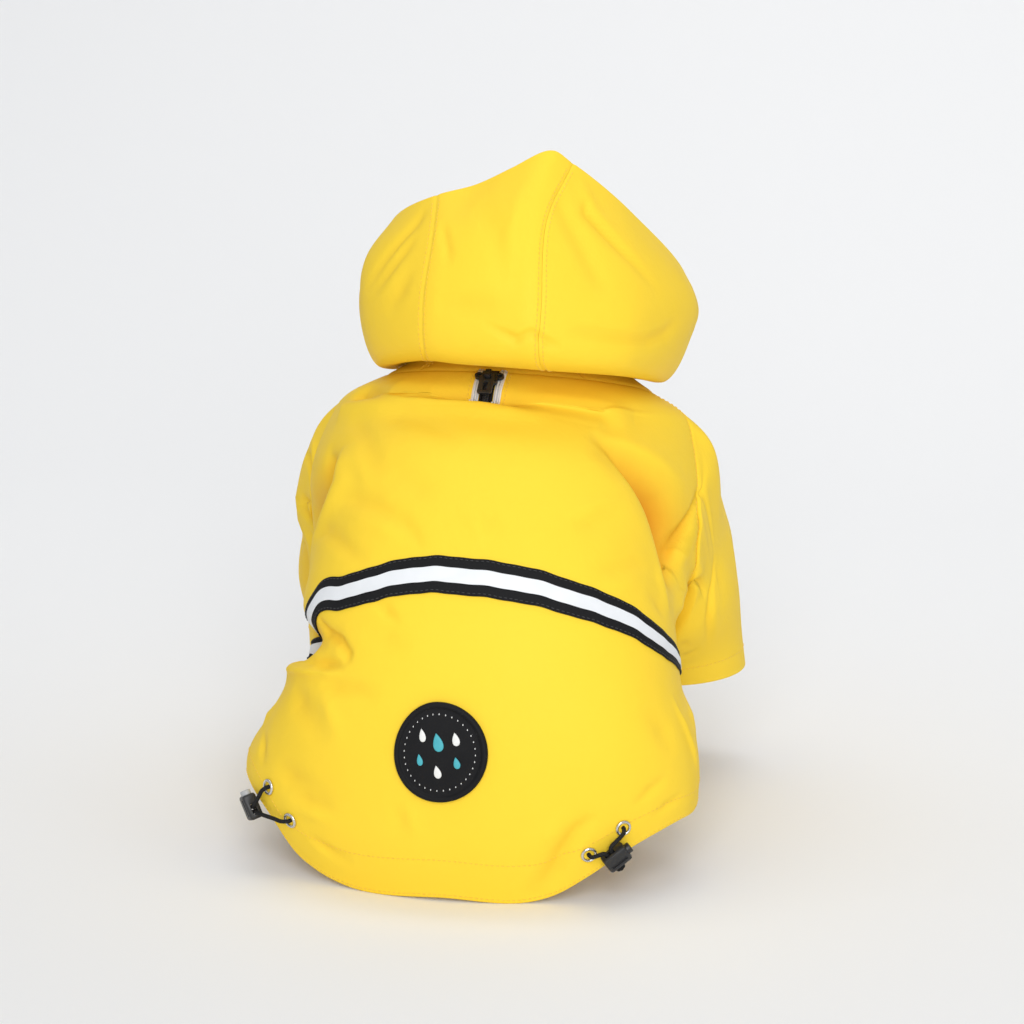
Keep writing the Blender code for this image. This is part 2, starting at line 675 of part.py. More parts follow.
def make_zip():
    """Tape with silver edges, a slider with an ear at each side, and its pull on a bridge."""
    zip_strip("zip_tape", -ZIP_TAPE, ZIP_TAPE, ZIP_THICK, "black_tape")
    zip_strip("zip_edge_left", -ZIP_EDGE[1], -ZIP_EDGE[0], STRIPE_THICK, "silver_tape")
    zip_strip("zip_edge_right", ZIP_EDGE[0], ZIP_EDGE[1], STRIPE_THICK, "silver_tape")
    up = coat(0.0, SLIDER_DOWN - 5) - coat(0.0, SLIDER_DOWN + 5)
    seat = frame_at(0.0, SLIDER_DOWN, 2 * GAP + ZIP_THICK, np.cross(up, [0, 0, 1.0]))
    slider = piece("zip_slider", local_mesh("zip_slider", *plate(SLIDER, 0, SLIDER_THICK), seat), "plastic")
    for i, (x, y) in enumerate(SLIDER_EARS):
        ear = plate(arc((x, y), EAR_RADIUS, 0, 345, 16), 0.3, SLIDER_THICK - 0.3)
        combine(slider, cutter(f"ear_{i}", local_mesh(f"ear_{i}", *ear, seat)), "UNION")
    for i, (x, y) in enumerate(SLIDER_EARS):
        hole = plate(arc((x, y), EAR_HOLE, 0, 330, 12), -1, SLIDER_THICK + 1)
        combine(slider, cutter(f"ear_hole_{i}", local_mesh(f"ear_hole_{i}", *hole, seat)))
    # The bridge stands over the pull's head with room for it to swing
    bridge = plate([(-1.4, -2.0), (1.4, -2.0), (1.4, 2.6), (-1.4, 2.6)], SLIDER_THICK - 0.4, BRIDGE_HIGH + 2.6)
    combine(slider, cutter("bridge", local_mesh("bridge", *bridge, seat)), "UNION")
    arch = plate([(-3, -1.2), (3, -1.2), (3, 1.8), (-3, 1.8)], SLIDER_THICK, BRIDGE_HIGH + 1.6)
    combine(slider, cutter("arch", local_mesh("arch", *arch, seat)))
    make_pull(seat)


def make_pull(seat):
    """The flat pull: its crossbar lies in the slider's bridge and its slotted blade below it."""
    tilt = seat @ Matrix.Translation(Vector((0, PULL_BAR[0] * MM, PULL_BAR[1] * MM))) @ Matrix.Rotation(
        math.radians(PULL_TILT), 4, "X"
    )
    half = PULL_THICK / 2
    blade = [(-2.6, 0.9), (-3.7, -2.6), (-3.7, -PULL_LONG + 1), (-2.7, -PULL_LONG)]
    blade = blade + [(-x, y) for x, y in reversed(blade)]
    pull = piece("zip_pull", local_mesh("zip_pull", *plate(blade, -half, half), tilt), "plastic")
    eye = plate([(-1.8, -0.7), (1.8, -0.7), (1.8, -3.2), (-1.8, -3.2)], -2, 2)
    slot = plate([(-1.1, -5.0), (1.1, -5.0), (1.1, -PULL_LONG + 2), (-1.1, -PULL_LONG + 2)], -2, 2)
    for name, hole in (("pull_eye", eye), ("pull_slot", slot)):
        combine(pull, cutter(name, local_mesh(name, *hole, tilt)))


# ---------------------------------------------------------------- badge and eyelets

BADGE_TURN = 1.0
BADGE_DOWN = 223.0
# Radius and height of the badge's outline, from the middle of its face to the middle of its back
BADGE = [(7, 2.2), (16, 2.2), (21.0, 2.2), (21.8, 3.0), (23.5, 3.0), (24.3, 2.3), (24.3, 0.3), (16, 0.3), (7, 0.3)]
BADGE_STEPS = 32


def make_badge():
    """A round badge with a raised rim, bent to the back under it."""
    angle = np.linspace(0, 2 * math.pi, BADGE_STEPS, endpoint=False)
    along = np.linalg.norm(coat(BADGE_TURN, BADGE_DOWN + 1) - coat(BADGE_TURN, BADGE_DOWN - 1)) / 2
    rings = []
    for radius, out in BADGE:
        down = BADGE_DOWN + radius * np.sin(angle) / along
        turn = BADGE_TURN + degrees_of(radius * np.cos(angle), BADGE_TURN, down)
        rings.append(coat(turn, down, out))
    count = len(rings) * BADGE_STEPS
    grid = np.arange(count).reshape(len(rings), BADGE_STEPS)
    faces = [list(f) for f in quads(grid, True)] + [list(grid[0]), list(grid[-1])]
    return piece("badge", mesh_of("badge", np.concatenate(rings), faces), "rubber")


EYELETS = table(
    ("turn", "down"),
    (("left_upper", -53, 261), ("left_lower", -43, 275), ("right_upper", 48, 268), ("right_lower", 38, 280)),
)
EYELET_NAMES = ("left_upper", "left_lower", "right_upper", "right_lower")
# The eyelet's section: radius and height above the cloth
EYELET = [(2.6, -1.9), (2.6, 0.9), (2.9, 1.25), (3.6, 1.2), (4.1, 0.75), (4.1, 0.3), (3.15, 0.3), (3.15, -1.9)]
EYELET_HOLE = 3.45
EYELET_DEEP = 2.2
EYELET_STEPS = 14


def eyelet_frame(i, out=0.0):
    """A frame on eyelet i, z out of the cloth."""
    return frame_at(EYELETS["turn"][i], EYELETS["down"][i], out, np.array([1.0, 0.0, 0.0]))


def make_eyelets(panel):
    """Metal eyelets in the turned-up hem, each with its barrel in a hole of its own."""
    angle = np.linspace(0, 2 * math.pi, EYELET_STEPS, endpoint=False)
    for i, name in enumerate(EYELET_NAMES):
        matrix = eyelet_frame(i)
        points = [(r * math.cos(a), r * math.sin(a), z) for r, z in EYELET for a in angle]
        grid = np.arange(len(points)).reshape(len(EYELET), EYELET_STEPS)
        grid = np.vstack([grid, grid[:1]])
        faces = [list(map(int, f)) for f in quads(grid, True)]
        piece(f"eyelet_{name}", local_mesh(f"eyelet_{name}", points, faces, matrix), "metal")
        hole = plate([(EYELET_HOLE * math.cos(a), EYELET_HOLE * math.sin(a)) for a in angle], -EYELET_DEEP, 4)
        combine(panel, cutter(f"hole_{name}", local_mesh(f"hole_{name}", *hole, matrix)))


# ---------------------------------------------------------------- cords and cord locks

# A cord lock in its own frame: x toward its button, y toward the eyelets, z out of the cloth
LOCK = (13.0, 9.0, 7.0)
LOCK_SLOT = (5.5, 2.9)
LOCK_SLOT_AT = -1.5
LOCK_OUT = 4.6
BUTTON_RADIUS = 2.6
BUTTON_BORE = 2.9
BUTTON_DEEP = 4.6
BUTTON_IN = 2.6
BUTTON_OUT = 2.2
CORD_RADIUS = 1.05
CORD_STEP = 2.4
TAIL_RADIUS = 1.9


def lock_frame(turn, down, x_from, x_to):
    """The lock's frame on the coat, x along the way between two points."""
    return frame_at(turn, down, LOCK_OUT, x_to - x_from)


def make_lock(side, matrix):
    """The barrel with a slot through it for both cord ends, and the button in its end."""
    long, wide, thick = (size / 2 for size in LOCK)
    outline = [(-long, -wide), (long, -wide), (long, wide), (-long, wide)]
    mesh = local_mesh(f"lock_{side}", *plate(outline, -thick, thick), Matrix.Identity(4))
    work = bmesh.new()
    work.from_mesh(mesh)
    bmesh.ops.bevel(work, geom=work.edges[:], offset=1.4 * MM, segments=2, profile=0.5, affect="EDGES")
    work.transform(matrix)
    work.to_mesh(mesh)
    work.free()
    barrel = piece(f"lock_{side}", mesh, "plastic")
    low, high = LOCK_SLOT_AT - LOCK_SLOT[0] / 2, LOCK_SLOT_AT + LOCK_SLOT[0] / 2
    slot = plate([(low, -9), (high, -9), (high, 9), (low, 9)], -LOCK_SLOT[1] / 2, LOCK_SLOT[1] / 2)
    groove = plate([(-4.4, -2.2), (4.4, -2.2), (4.4, -0.4), (-4.4, -0.4)], thick - 0.8, thick + 2)
    lie = matrix @ Matrix.Rotation(math.pi / 2, 4, "Y")
    bore = plate(arc((0, 0), BUTTON_BORE, 0, 337.5, 16), long - BUTTON_DEEP, long + 3)
    combine(barrel, cutter(f"slot_{side}", local_mesh(f"slot_{side}", *slot, matrix)))
    combine(barrel, cutter(f"groove_{side}", local_mesh(f"groove_{side}", *groove, matrix)))
    combine(barrel, cutter(f"bore_{side}", local_mesh(f"bore_{side}", *bore, lie)))
    button = plate(arc((0, 0), BUTTON_RADIUS, 0, 337.5, 16), long - BUTTON_IN, long + BUTTON_OUT)
    piece(f"button_{side}", local_mesh(f"button_{side}", *button, lie), "plastic")


def make_cord(side, matrix, face, upper, lower):
    """One cord from the upper eyelet through the lock, round its tail and back to the lower eyelet.

    face is 1 where the eyelets are on the y side of the lock and -1 where they are on the other.
    """
    here = matrix.inverted()
    offset = CORD_RADIUS + 0.3
    wide = LOCK[1] / 2

    def from_eyelet(i, mouth):
        """Points up out of an eyelet's bore and over toward the lock's mouth, in its frame."""
        frame = eyelet_frame(i)
        bore, lip, bend = (np.array(here @ frame @ Vector((0, 0, z * MM))) / MM for z in (0.25 - EYELET_DEEP, 1.0, 3.4))
        return [bore, lip, 0.85 * bend + 0.15 * mouth, 0.65 * bend + 0.35 * mouth]

    leg = [(offset + 0.5, wide + 1.5, 0), (offset, wide - 0.5, 0), (offset, 0, 0), (offset, 0.5 - wide, 0)]
    tail = [(x, y, 0) for x, y in arc((0, -wide - 1.2), TAIL_RADIUS, 0, -180, 5)]
    inside = np.array(leg + tail + [(-x, y, z) for x, y, z in reversed(leg)])
    inside = (inside + [LOCK_SLOT_AT, 0, 0]) * [1, face, 1]
    ends = from_eyelet(upper, inside[0]), from_eyelet(lower, inside[-1])[::-1]
    guides = np.concatenate([ends[0], inside, ends[1]])
    lengths = np.linalg.norm(np.diff(guides, axis=0), axis=1)
    stations = np.concatenate([[0], np.cumsum(lengths)])
    steps = [np.linspace(a, b, max(1, round((b - a) / CORD_STEP)), endpoint=False) for a, b in zip(stations, stations[1:])]
    path = smooth(stations, guides, np.concatenate([*steps, stations[-1:]]))
    curve = bpy.data.curves.new(f"cord_{side}", "CURVE")
    curve.dimensions = "3D"
    curve.bevel_depth = CORD_RADIUS * MM
    curve.bevel_resolution = 2
    curve.use_fill_caps = True
    spline = curve.splines.new("POLY")
    spline.points.add(len(path) - 1)
    for point, place in zip(spline.points, path):
        point.co = (*(matrix @ Vector(place * MM)), 1.0)
    cord = bpy.data.objects.new(f"cord_{side}", curve)
    curve.materials.append(material(f"cord_{side}", "cord"))
    PARTS.objects.link(cord)


def make_locks():
    """Both cords with their locks: the right one rests on the hem, the left one hangs past it."""
    upper, lower = coat(48.0, 268.0), coat(38.0, 280.0)
    right = lock_frame(45.0, 282.5, lower, upper)
    left = lock_frame(-61.0, 280.0, coat(-60.0, 286.0), coat(-63.0, 274.0))
    for side, matrix, face, eyelets in (("right", right, 1, (2, 3)), ("left", left, -1, (0, 1))):
        make_lock(side, matrix)
        make_cord(side, matrix, face, *eyelets)


back_panel = make_back_panel()
make_front_panel()
make_sleeve("sleeve_right", 1, 0.0)
make_sleeve("sleeve_left", -1, 8.0)
make_hood_panel("hood_left", -1, SEAM_LEFT, 15)
make_hood_panel("hood_centre", SEAM_LEFT, SEAM_RIGHT, 10)
make_hood_panel("hood_right", SEAM_RIGHT, 1, 15)
make_band()
make_zip()
make_badge()
make_eyelets(back_panel)
make_locks()
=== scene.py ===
# %% [markdown]
# # A dog raincoat
# The solids of the coat come in as a fixed frame: where each panel, tape, eyelet and cord lock
# sits is settled there. This script gives every piece its looks. Hard pieces keep their shape and
# get finer edges and a finish. Cloth is made again as a thin shell on the same surface, with the
# creases, seams and stitches that a solid is too coarse for.

import math

import bmesh
import bpy
import numpy as np
from mathutils import Matrix, Vector


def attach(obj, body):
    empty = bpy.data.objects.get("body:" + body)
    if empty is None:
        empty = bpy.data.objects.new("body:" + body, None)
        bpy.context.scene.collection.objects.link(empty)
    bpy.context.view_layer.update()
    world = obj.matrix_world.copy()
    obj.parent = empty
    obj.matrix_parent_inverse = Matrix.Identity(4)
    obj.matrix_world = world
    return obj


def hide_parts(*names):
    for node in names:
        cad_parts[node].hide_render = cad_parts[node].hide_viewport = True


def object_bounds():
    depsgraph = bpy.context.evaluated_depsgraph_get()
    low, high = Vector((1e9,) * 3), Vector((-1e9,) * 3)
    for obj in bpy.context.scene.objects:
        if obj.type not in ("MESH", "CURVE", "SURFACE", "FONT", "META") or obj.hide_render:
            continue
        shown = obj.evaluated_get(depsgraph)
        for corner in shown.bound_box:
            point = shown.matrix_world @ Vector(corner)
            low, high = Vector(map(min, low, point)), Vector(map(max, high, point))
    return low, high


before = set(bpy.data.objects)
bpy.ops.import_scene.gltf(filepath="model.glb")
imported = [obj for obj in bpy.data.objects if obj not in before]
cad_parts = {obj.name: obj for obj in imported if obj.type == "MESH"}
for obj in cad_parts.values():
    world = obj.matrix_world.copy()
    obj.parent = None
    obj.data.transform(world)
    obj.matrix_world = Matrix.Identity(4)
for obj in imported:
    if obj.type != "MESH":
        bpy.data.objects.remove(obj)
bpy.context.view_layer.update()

# %% [markdown]
# ## Units and small helpers
# The tables below are in millimetres from the floor under the seat of the coat, because a tailor
# measures so. The frame's origin lies inside the back at the withers, so HOLD is taken off before
# millimetres become metres.

# %% Units and curves
MM = 0.001
HOLD = np.array([0.0, 82.0, 246.0])


def table(names, rows):
    """One array for each named column; the first entry of a row is its label."""
    return dict(zip(names, np.array([row[1:] for row in rows], float).T))


def smooth(stations, values, at):
    """Cubic curve through values at stations, with the mean slope of both sides at each."""
    x, y, at = (np.asarray(v, float) for v in (stations, values, at))
    flat = y.reshape(len(x), -1)
    step = np.diff(x)[:, None]
    rise = np.diff(flat, axis=0) / step
    middle = (rise[:-1] * step[1:] + rise[1:] * step[:-1]) / (step[:-1] + step[1:])
    slope = np.vstack([rise[:1], middle, rise[-1:]])
    k = np.clip(np.searchsorted(x, at, side="right") - 1, 0, len(x) - 2)
    h = (x[k + 1] - x[k])[..., None]
    t = (at - x[k])[..., None] / h
    out = (
        (2 * t**3 - 3 * t**2 + 1) * flat[k]
        + (t**3 - 2 * t**2 + t) * h * slope[k]
        + (3 * t**2 - 2 * t**3) * flat[k + 1]
        + (t**3 - t**2) * h * slope[k + 1]
    )
    return out.reshape(at.shape + y.shape[1:])


def ramp(low, high, value):
    """0 at low, 1 at high, easing in and out between them."""
    t = np.clip((value - low) / (high - low), 0, 1)
    return t * t * (3 - 2 * t)


def unit(v):
    """Vectors at length 1."""
    return v / np.maximum(np.linalg.norm(v, axis=-1, keepdims=True), 1e-12)


def metres(points):
    """Millimetres from the floor, as metres from the frame's origin."""
    return (np.asarray(points) - HOLD) * MM


# %% [markdown]
# ## The coat's body as one surface
# A point on the body is named by turn, its angle from the centre of the back, and down, its way
# from the neckline toward the hem. Each station down the back is a rounded ring between a point
# on the back and one on the chest. This is the same surface that the solids were made on, so a
# piece made here lies where its solid lies.

# %% Stations of the body
LENGTH = 306.0
ARMPIT = 78.0
BAND_DOWN = 139.0
BODY = table(
    ("down", "back_y", "back_z", "front_y", "front_z", "left", "right", "square"),
    (
        ("neckline", 0, 132, 273, 264, 228, 70, 70, 2.0),
        ("yoke", 14, 120, 268, 276, 210, 90, 90, 2.0),
        ("blade", 32, 105, 262, 283, 184, 99, 97, 2.0),
        ("shoulder", 62, 80, 250, 228, 134, 101, 102, 2.1),
        ("rib", 95, 55, 228, 182, 116, 90, 97, 2.2),
        ("band", BAND_DOWN, 28, 193, 158, 110, 87, 101, 2.3),
        ("loin", 187, 8, 150, 150, 107, 88, 106, 2.3),
        ("seat", 230, -3, 108, 145, 104, 101, 114, 2.2),
        ("tail", 266, -2, 72, 141, 102, 112, 117, 2.1),
        ("hem", 306, 6, 33, 138, 100, 107, 116, 2.0),
    ),
)
# Each line of a fold: its label, how much tighter it is on its lower side, and points of it as
# (turn, down, width, height). Ridges are positive.
FOLDS = (
    ("yoke ridge", 1.0, [(-52, 30, 7, 4), (34, 39, 7, 3)]),
    ("yoke crease", 1.0, [(-50, 20, 7, -5), (36, 29, 7, -4)]),
    ("right armhole trough", 0.85, [(38, 54, 8, -3), (76, 82, 18, -16)]),
    ("left armhole trough", 0.75, [(-49, 64, 8, -3), (-78, 84, 16, -15)]),
    ("left waist pinch", 1.0, [(-42, 172, 9, -2), (-84, 163, 13, -18)]),
    ("left hip ridge", 1.0, [(-50, 184, 10, 2), (-92, 190, 10, 4)]),
)
TURN_STEP = 0.25
DOWN_STEP = 0.5
MM_A_DEGREE = math.radians(100.0)


# %% Points on the body
def plain_body(turn, down):
    """The ring of this station as far round as turn: x by the sine, y and z by the cosine."""
    turn, down = np.broadcast_arrays(np.asarray(turn, float), np.asarray(down, float))
    c = {name: smooth(BODY["down"], BODY[name], down) for name in BODY if name != "down"}
    a = np.radians(turn)
    power = c["square"]
    reach = (np.abs(np.cos(a)) ** power + np.abs(np.sin(a)) ** power) ** (-1 / power)
    half = np.where(turn < 0, c["left"], c["right"])
    share = (1 + np.cos(a) * reach) / 2
    y = c["front_y"] + (c["back_y"] - c["front_y"]) * share
    z = c["front_z"] + (c["back_z"] - c["front_z"]) * share
    return np.stack([half * np.sin(a) * reach, y, z], axis=-1)


def out_of(surface, turn, down):
    """Unit normal out of a surface: its slope down it, crossed with its slope round it."""
    across = surface(turn + TURN_STEP, down) - surface(turn - TURN_STEP, down)
    along = surface(turn, down + DOWN_STEP) - surface(turn, down - DOWN_STEP)
    return unit(np.cross(along, across))


def folds(lines, x, y, wide, long=1.0):
    """Sum of soft ridges and troughs at (x, y), each a bell across a run of straight lines.

    wide and long are the millimetres of one x and one y.
    """
    x, y = np.broadcast_arrays(np.asarray(x, float) * wide, np.asarray(y, float) * long)
    total = np.zeros(x.shape)
    for _, tight, points in lines:
        ax, ay, width, height = np.array(points, float).T
        ax, ay = ax * wide, ay * long
        size = np.hypot(np.diff(ax), np.diff(ay))
        ux, uy = np.diff(ax) / size, np.diff(ay) / size
        dx, dy = x[..., None] - ax[:-1], y[..., None] - ay[:-1]
        along = np.clip(dx * ux + dy * uy, 0, size)
        away = np.hypot(dx - along * ux, dy - along * uy)
        near = away.argmin(axis=-1)[..., None]
        share = np.take_along_axis(along / size, near, axis=-1)[..., 0] + near[..., 0]
        side = (dy * ux - dx * uy) * np.copysign(1, ux)
        lower = np.take_along_axis(side, near, axis=-1)[..., 0] > 0
        knots = np.arange(len(ax))
        bell = np.interp(share, knots, width) * np.where(lower, tight, 1.0)
        total += np.interp(share, knots, height) * np.exp(-((away.min(axis=-1) / bell) ** 2))
    return total


def folded(turn, down):
    """The coat's outer face with its large folds."""
    turn, down = np.broadcast_arrays(np.asarray(turn, float), np.asarray(down, float))
    height = folds(FOLDS, turn, down, MM_A_DEGREE)
    return plain_body(turn, down) + height[..., None] * out_of(plain_body, turn, down)


def coat(turn, down, out=0.0):
    """A point on the coat's outer face, moved out of the cloth by out."""
    turn, down = np.broadcast_arrays(np.asarray(turn, float), np.asarray(down, float))
    return folded(turn, down) + np.asarray(out, float)[..., None] * out_of(folded, turn, down)


print("centre of the band:", coat(0.0, BAND_DOWN).round(1))

# %% [markdown]
# ## Where the hem and the band run
# The hem is hitched up where the cord locks pull it, and the band sags round the flanks. Rows of
# the panels, the tape and the stitches all go through the same function, so they stay parallel.

# %% Band and hem
BAND_WIDTH = 19.0
STRIPE_WIDTH = 7.6
HEM_EASE = 80.0
SAG_TOP = 98.0
SAG_END = 262.0
HEM_LIFT = table(
    ("turn", "lift"),
    (
        ("left seam", -110, 0),
        ("left flank", -98, 12),
        ("beyond left", -88, 24),
        ("left lock", -77, 32),
        ("left corner", -64, 32),
        ("left eyelet", -54, 24),
        ("left", -46, 8),
        ("left of centre", -38, 3),
        ("low left", -29, 1),
        ("centre back", 0, 5),
        ("right", 30, 4),
        ("right corner", 38, 11),
        ("right lock", 49, 21),
        ("beyond right", 60, 25),
        ("right flank", 72, 23),
        ("far right", 84, 14),
        ("right seam", 110, 0),
    ),
)
BAND_SAG = table(
    ("turn", "sag"),
    (
        ("left seam", -110, 37),
        ("left flank", -90, 28.5),
        ("below the pinch", -75, 24.5),
        ("in the pinch", -63, 20.5),
        ("above the pinch", -55, 13),
        ("left ribs", -48, 7),
        ("left back", -36, 6.5),
        ("left of centre", -26, 3),
        ("crest", 0, -2.6),
        ("right of centre", 18, -0.8),
        ("right back", 36, 2.8),
        ("right ribs", 52, 7.5),
        ("right flank", 69, 14),
        ("right seam", 110, 22),
        ("chest", 180, 28),
        ("round to the left seam", 250, 37),
    ),
)


def hitched(turn, down):
    """Down moved by the band's sag and, near the hem, by the hem's lift."""
    sag = smooth(BAND_SAG["turn"], BAND_SAG["sag"], turn)
    lift = smooth(HEM_LIFT["turn"], HEM_LIFT["lift"], np.clip(turn, -110, 110))
    low, high = BAND_DOWN - BAND_WIDTH / 2, BAND_DOWN + BAND_WIDTH / 2
    held = ramp(SAG_TOP, low, down) - ramp(high, SAG_END, down)
    return down + sag * held - lift * ramp(LENGTH - HEM_EASE, LENGTH, down)


# %% [markdown]
# ## The raglan seam
# A raglan sleeve runs up to the neckline, so its seam crosses the shoulder from the neck to the
# armpit and back to the neck in front. Path counts along it.

# %% Armhole
ARMHOLE = table(
    ("path", "turn", "down"),
    (
        ("neck back", 0.0, 78, 0),
        ("blade", 0.35, 78, 24),
        ("arm back", 0.7, 84, 50),
        ("armpit back", 0.9, 98, 71),
        ("armpit", 1.0, 110, ARMPIT),
        ("armpit front", 1.1, 121, 73),
        ("arm front", 1.35, 132, 53),
        ("chest", 1.7, 130, 26),
        ("neck front", 2.0, 120, 0),
    ),
)
SEAM_GAP = 0.1


def side_edge(half, side, rows):
    """(turn, down) down the side of a panel: rows 0 to 1 on the raglan seam, then the side seam."""
    path = np.clip(rows, 0, 1) if half == "back" else 2 - np.clip(rows, 0, 1)
    turn = smooth(ARMHOLE["path"], ARMHOLE["turn"], path)
    down = smooth(ARMHOLE["path"], ARMHOLE["down"], path)
    below = ARMPIT + (LENGTH - ARMPIT) * np.clip(rows - 1, 0, 1)
    return side * turn, np.where(rows > 1, below, down)


def degrees_of(gap, turn, down):
    """The turn that moves a point of the body sideways by gap millimetres."""
    reach = np.linalg.norm(folded(turn + TURN_STEP, down) - folded(turn - TURN_STEP, down), axis=-1)
    return gap * 2 * TURN_STEP / reach


def armhole(path, side):
    """(turn, down) round the armhole: the raglan seam to path 2, then back along the neckline."""
    seam = np.clip(path, 0, 2)
    turn = smooth(ARMHOLE["path"], ARMHOLE["turn"], seam)
    down = smooth(ARMHOLE["path"], ARMHOLE["down"], seam)
    neck = np.clip(path - 2, 0, 1)
    turn = np.where(path > 2, ARMHOLE["turn"][-1] * (1 - neck) + ARMHOLE["turn"][0] * neck, turn)
    return side * turn, np.where(path > 2, 0.0, down)
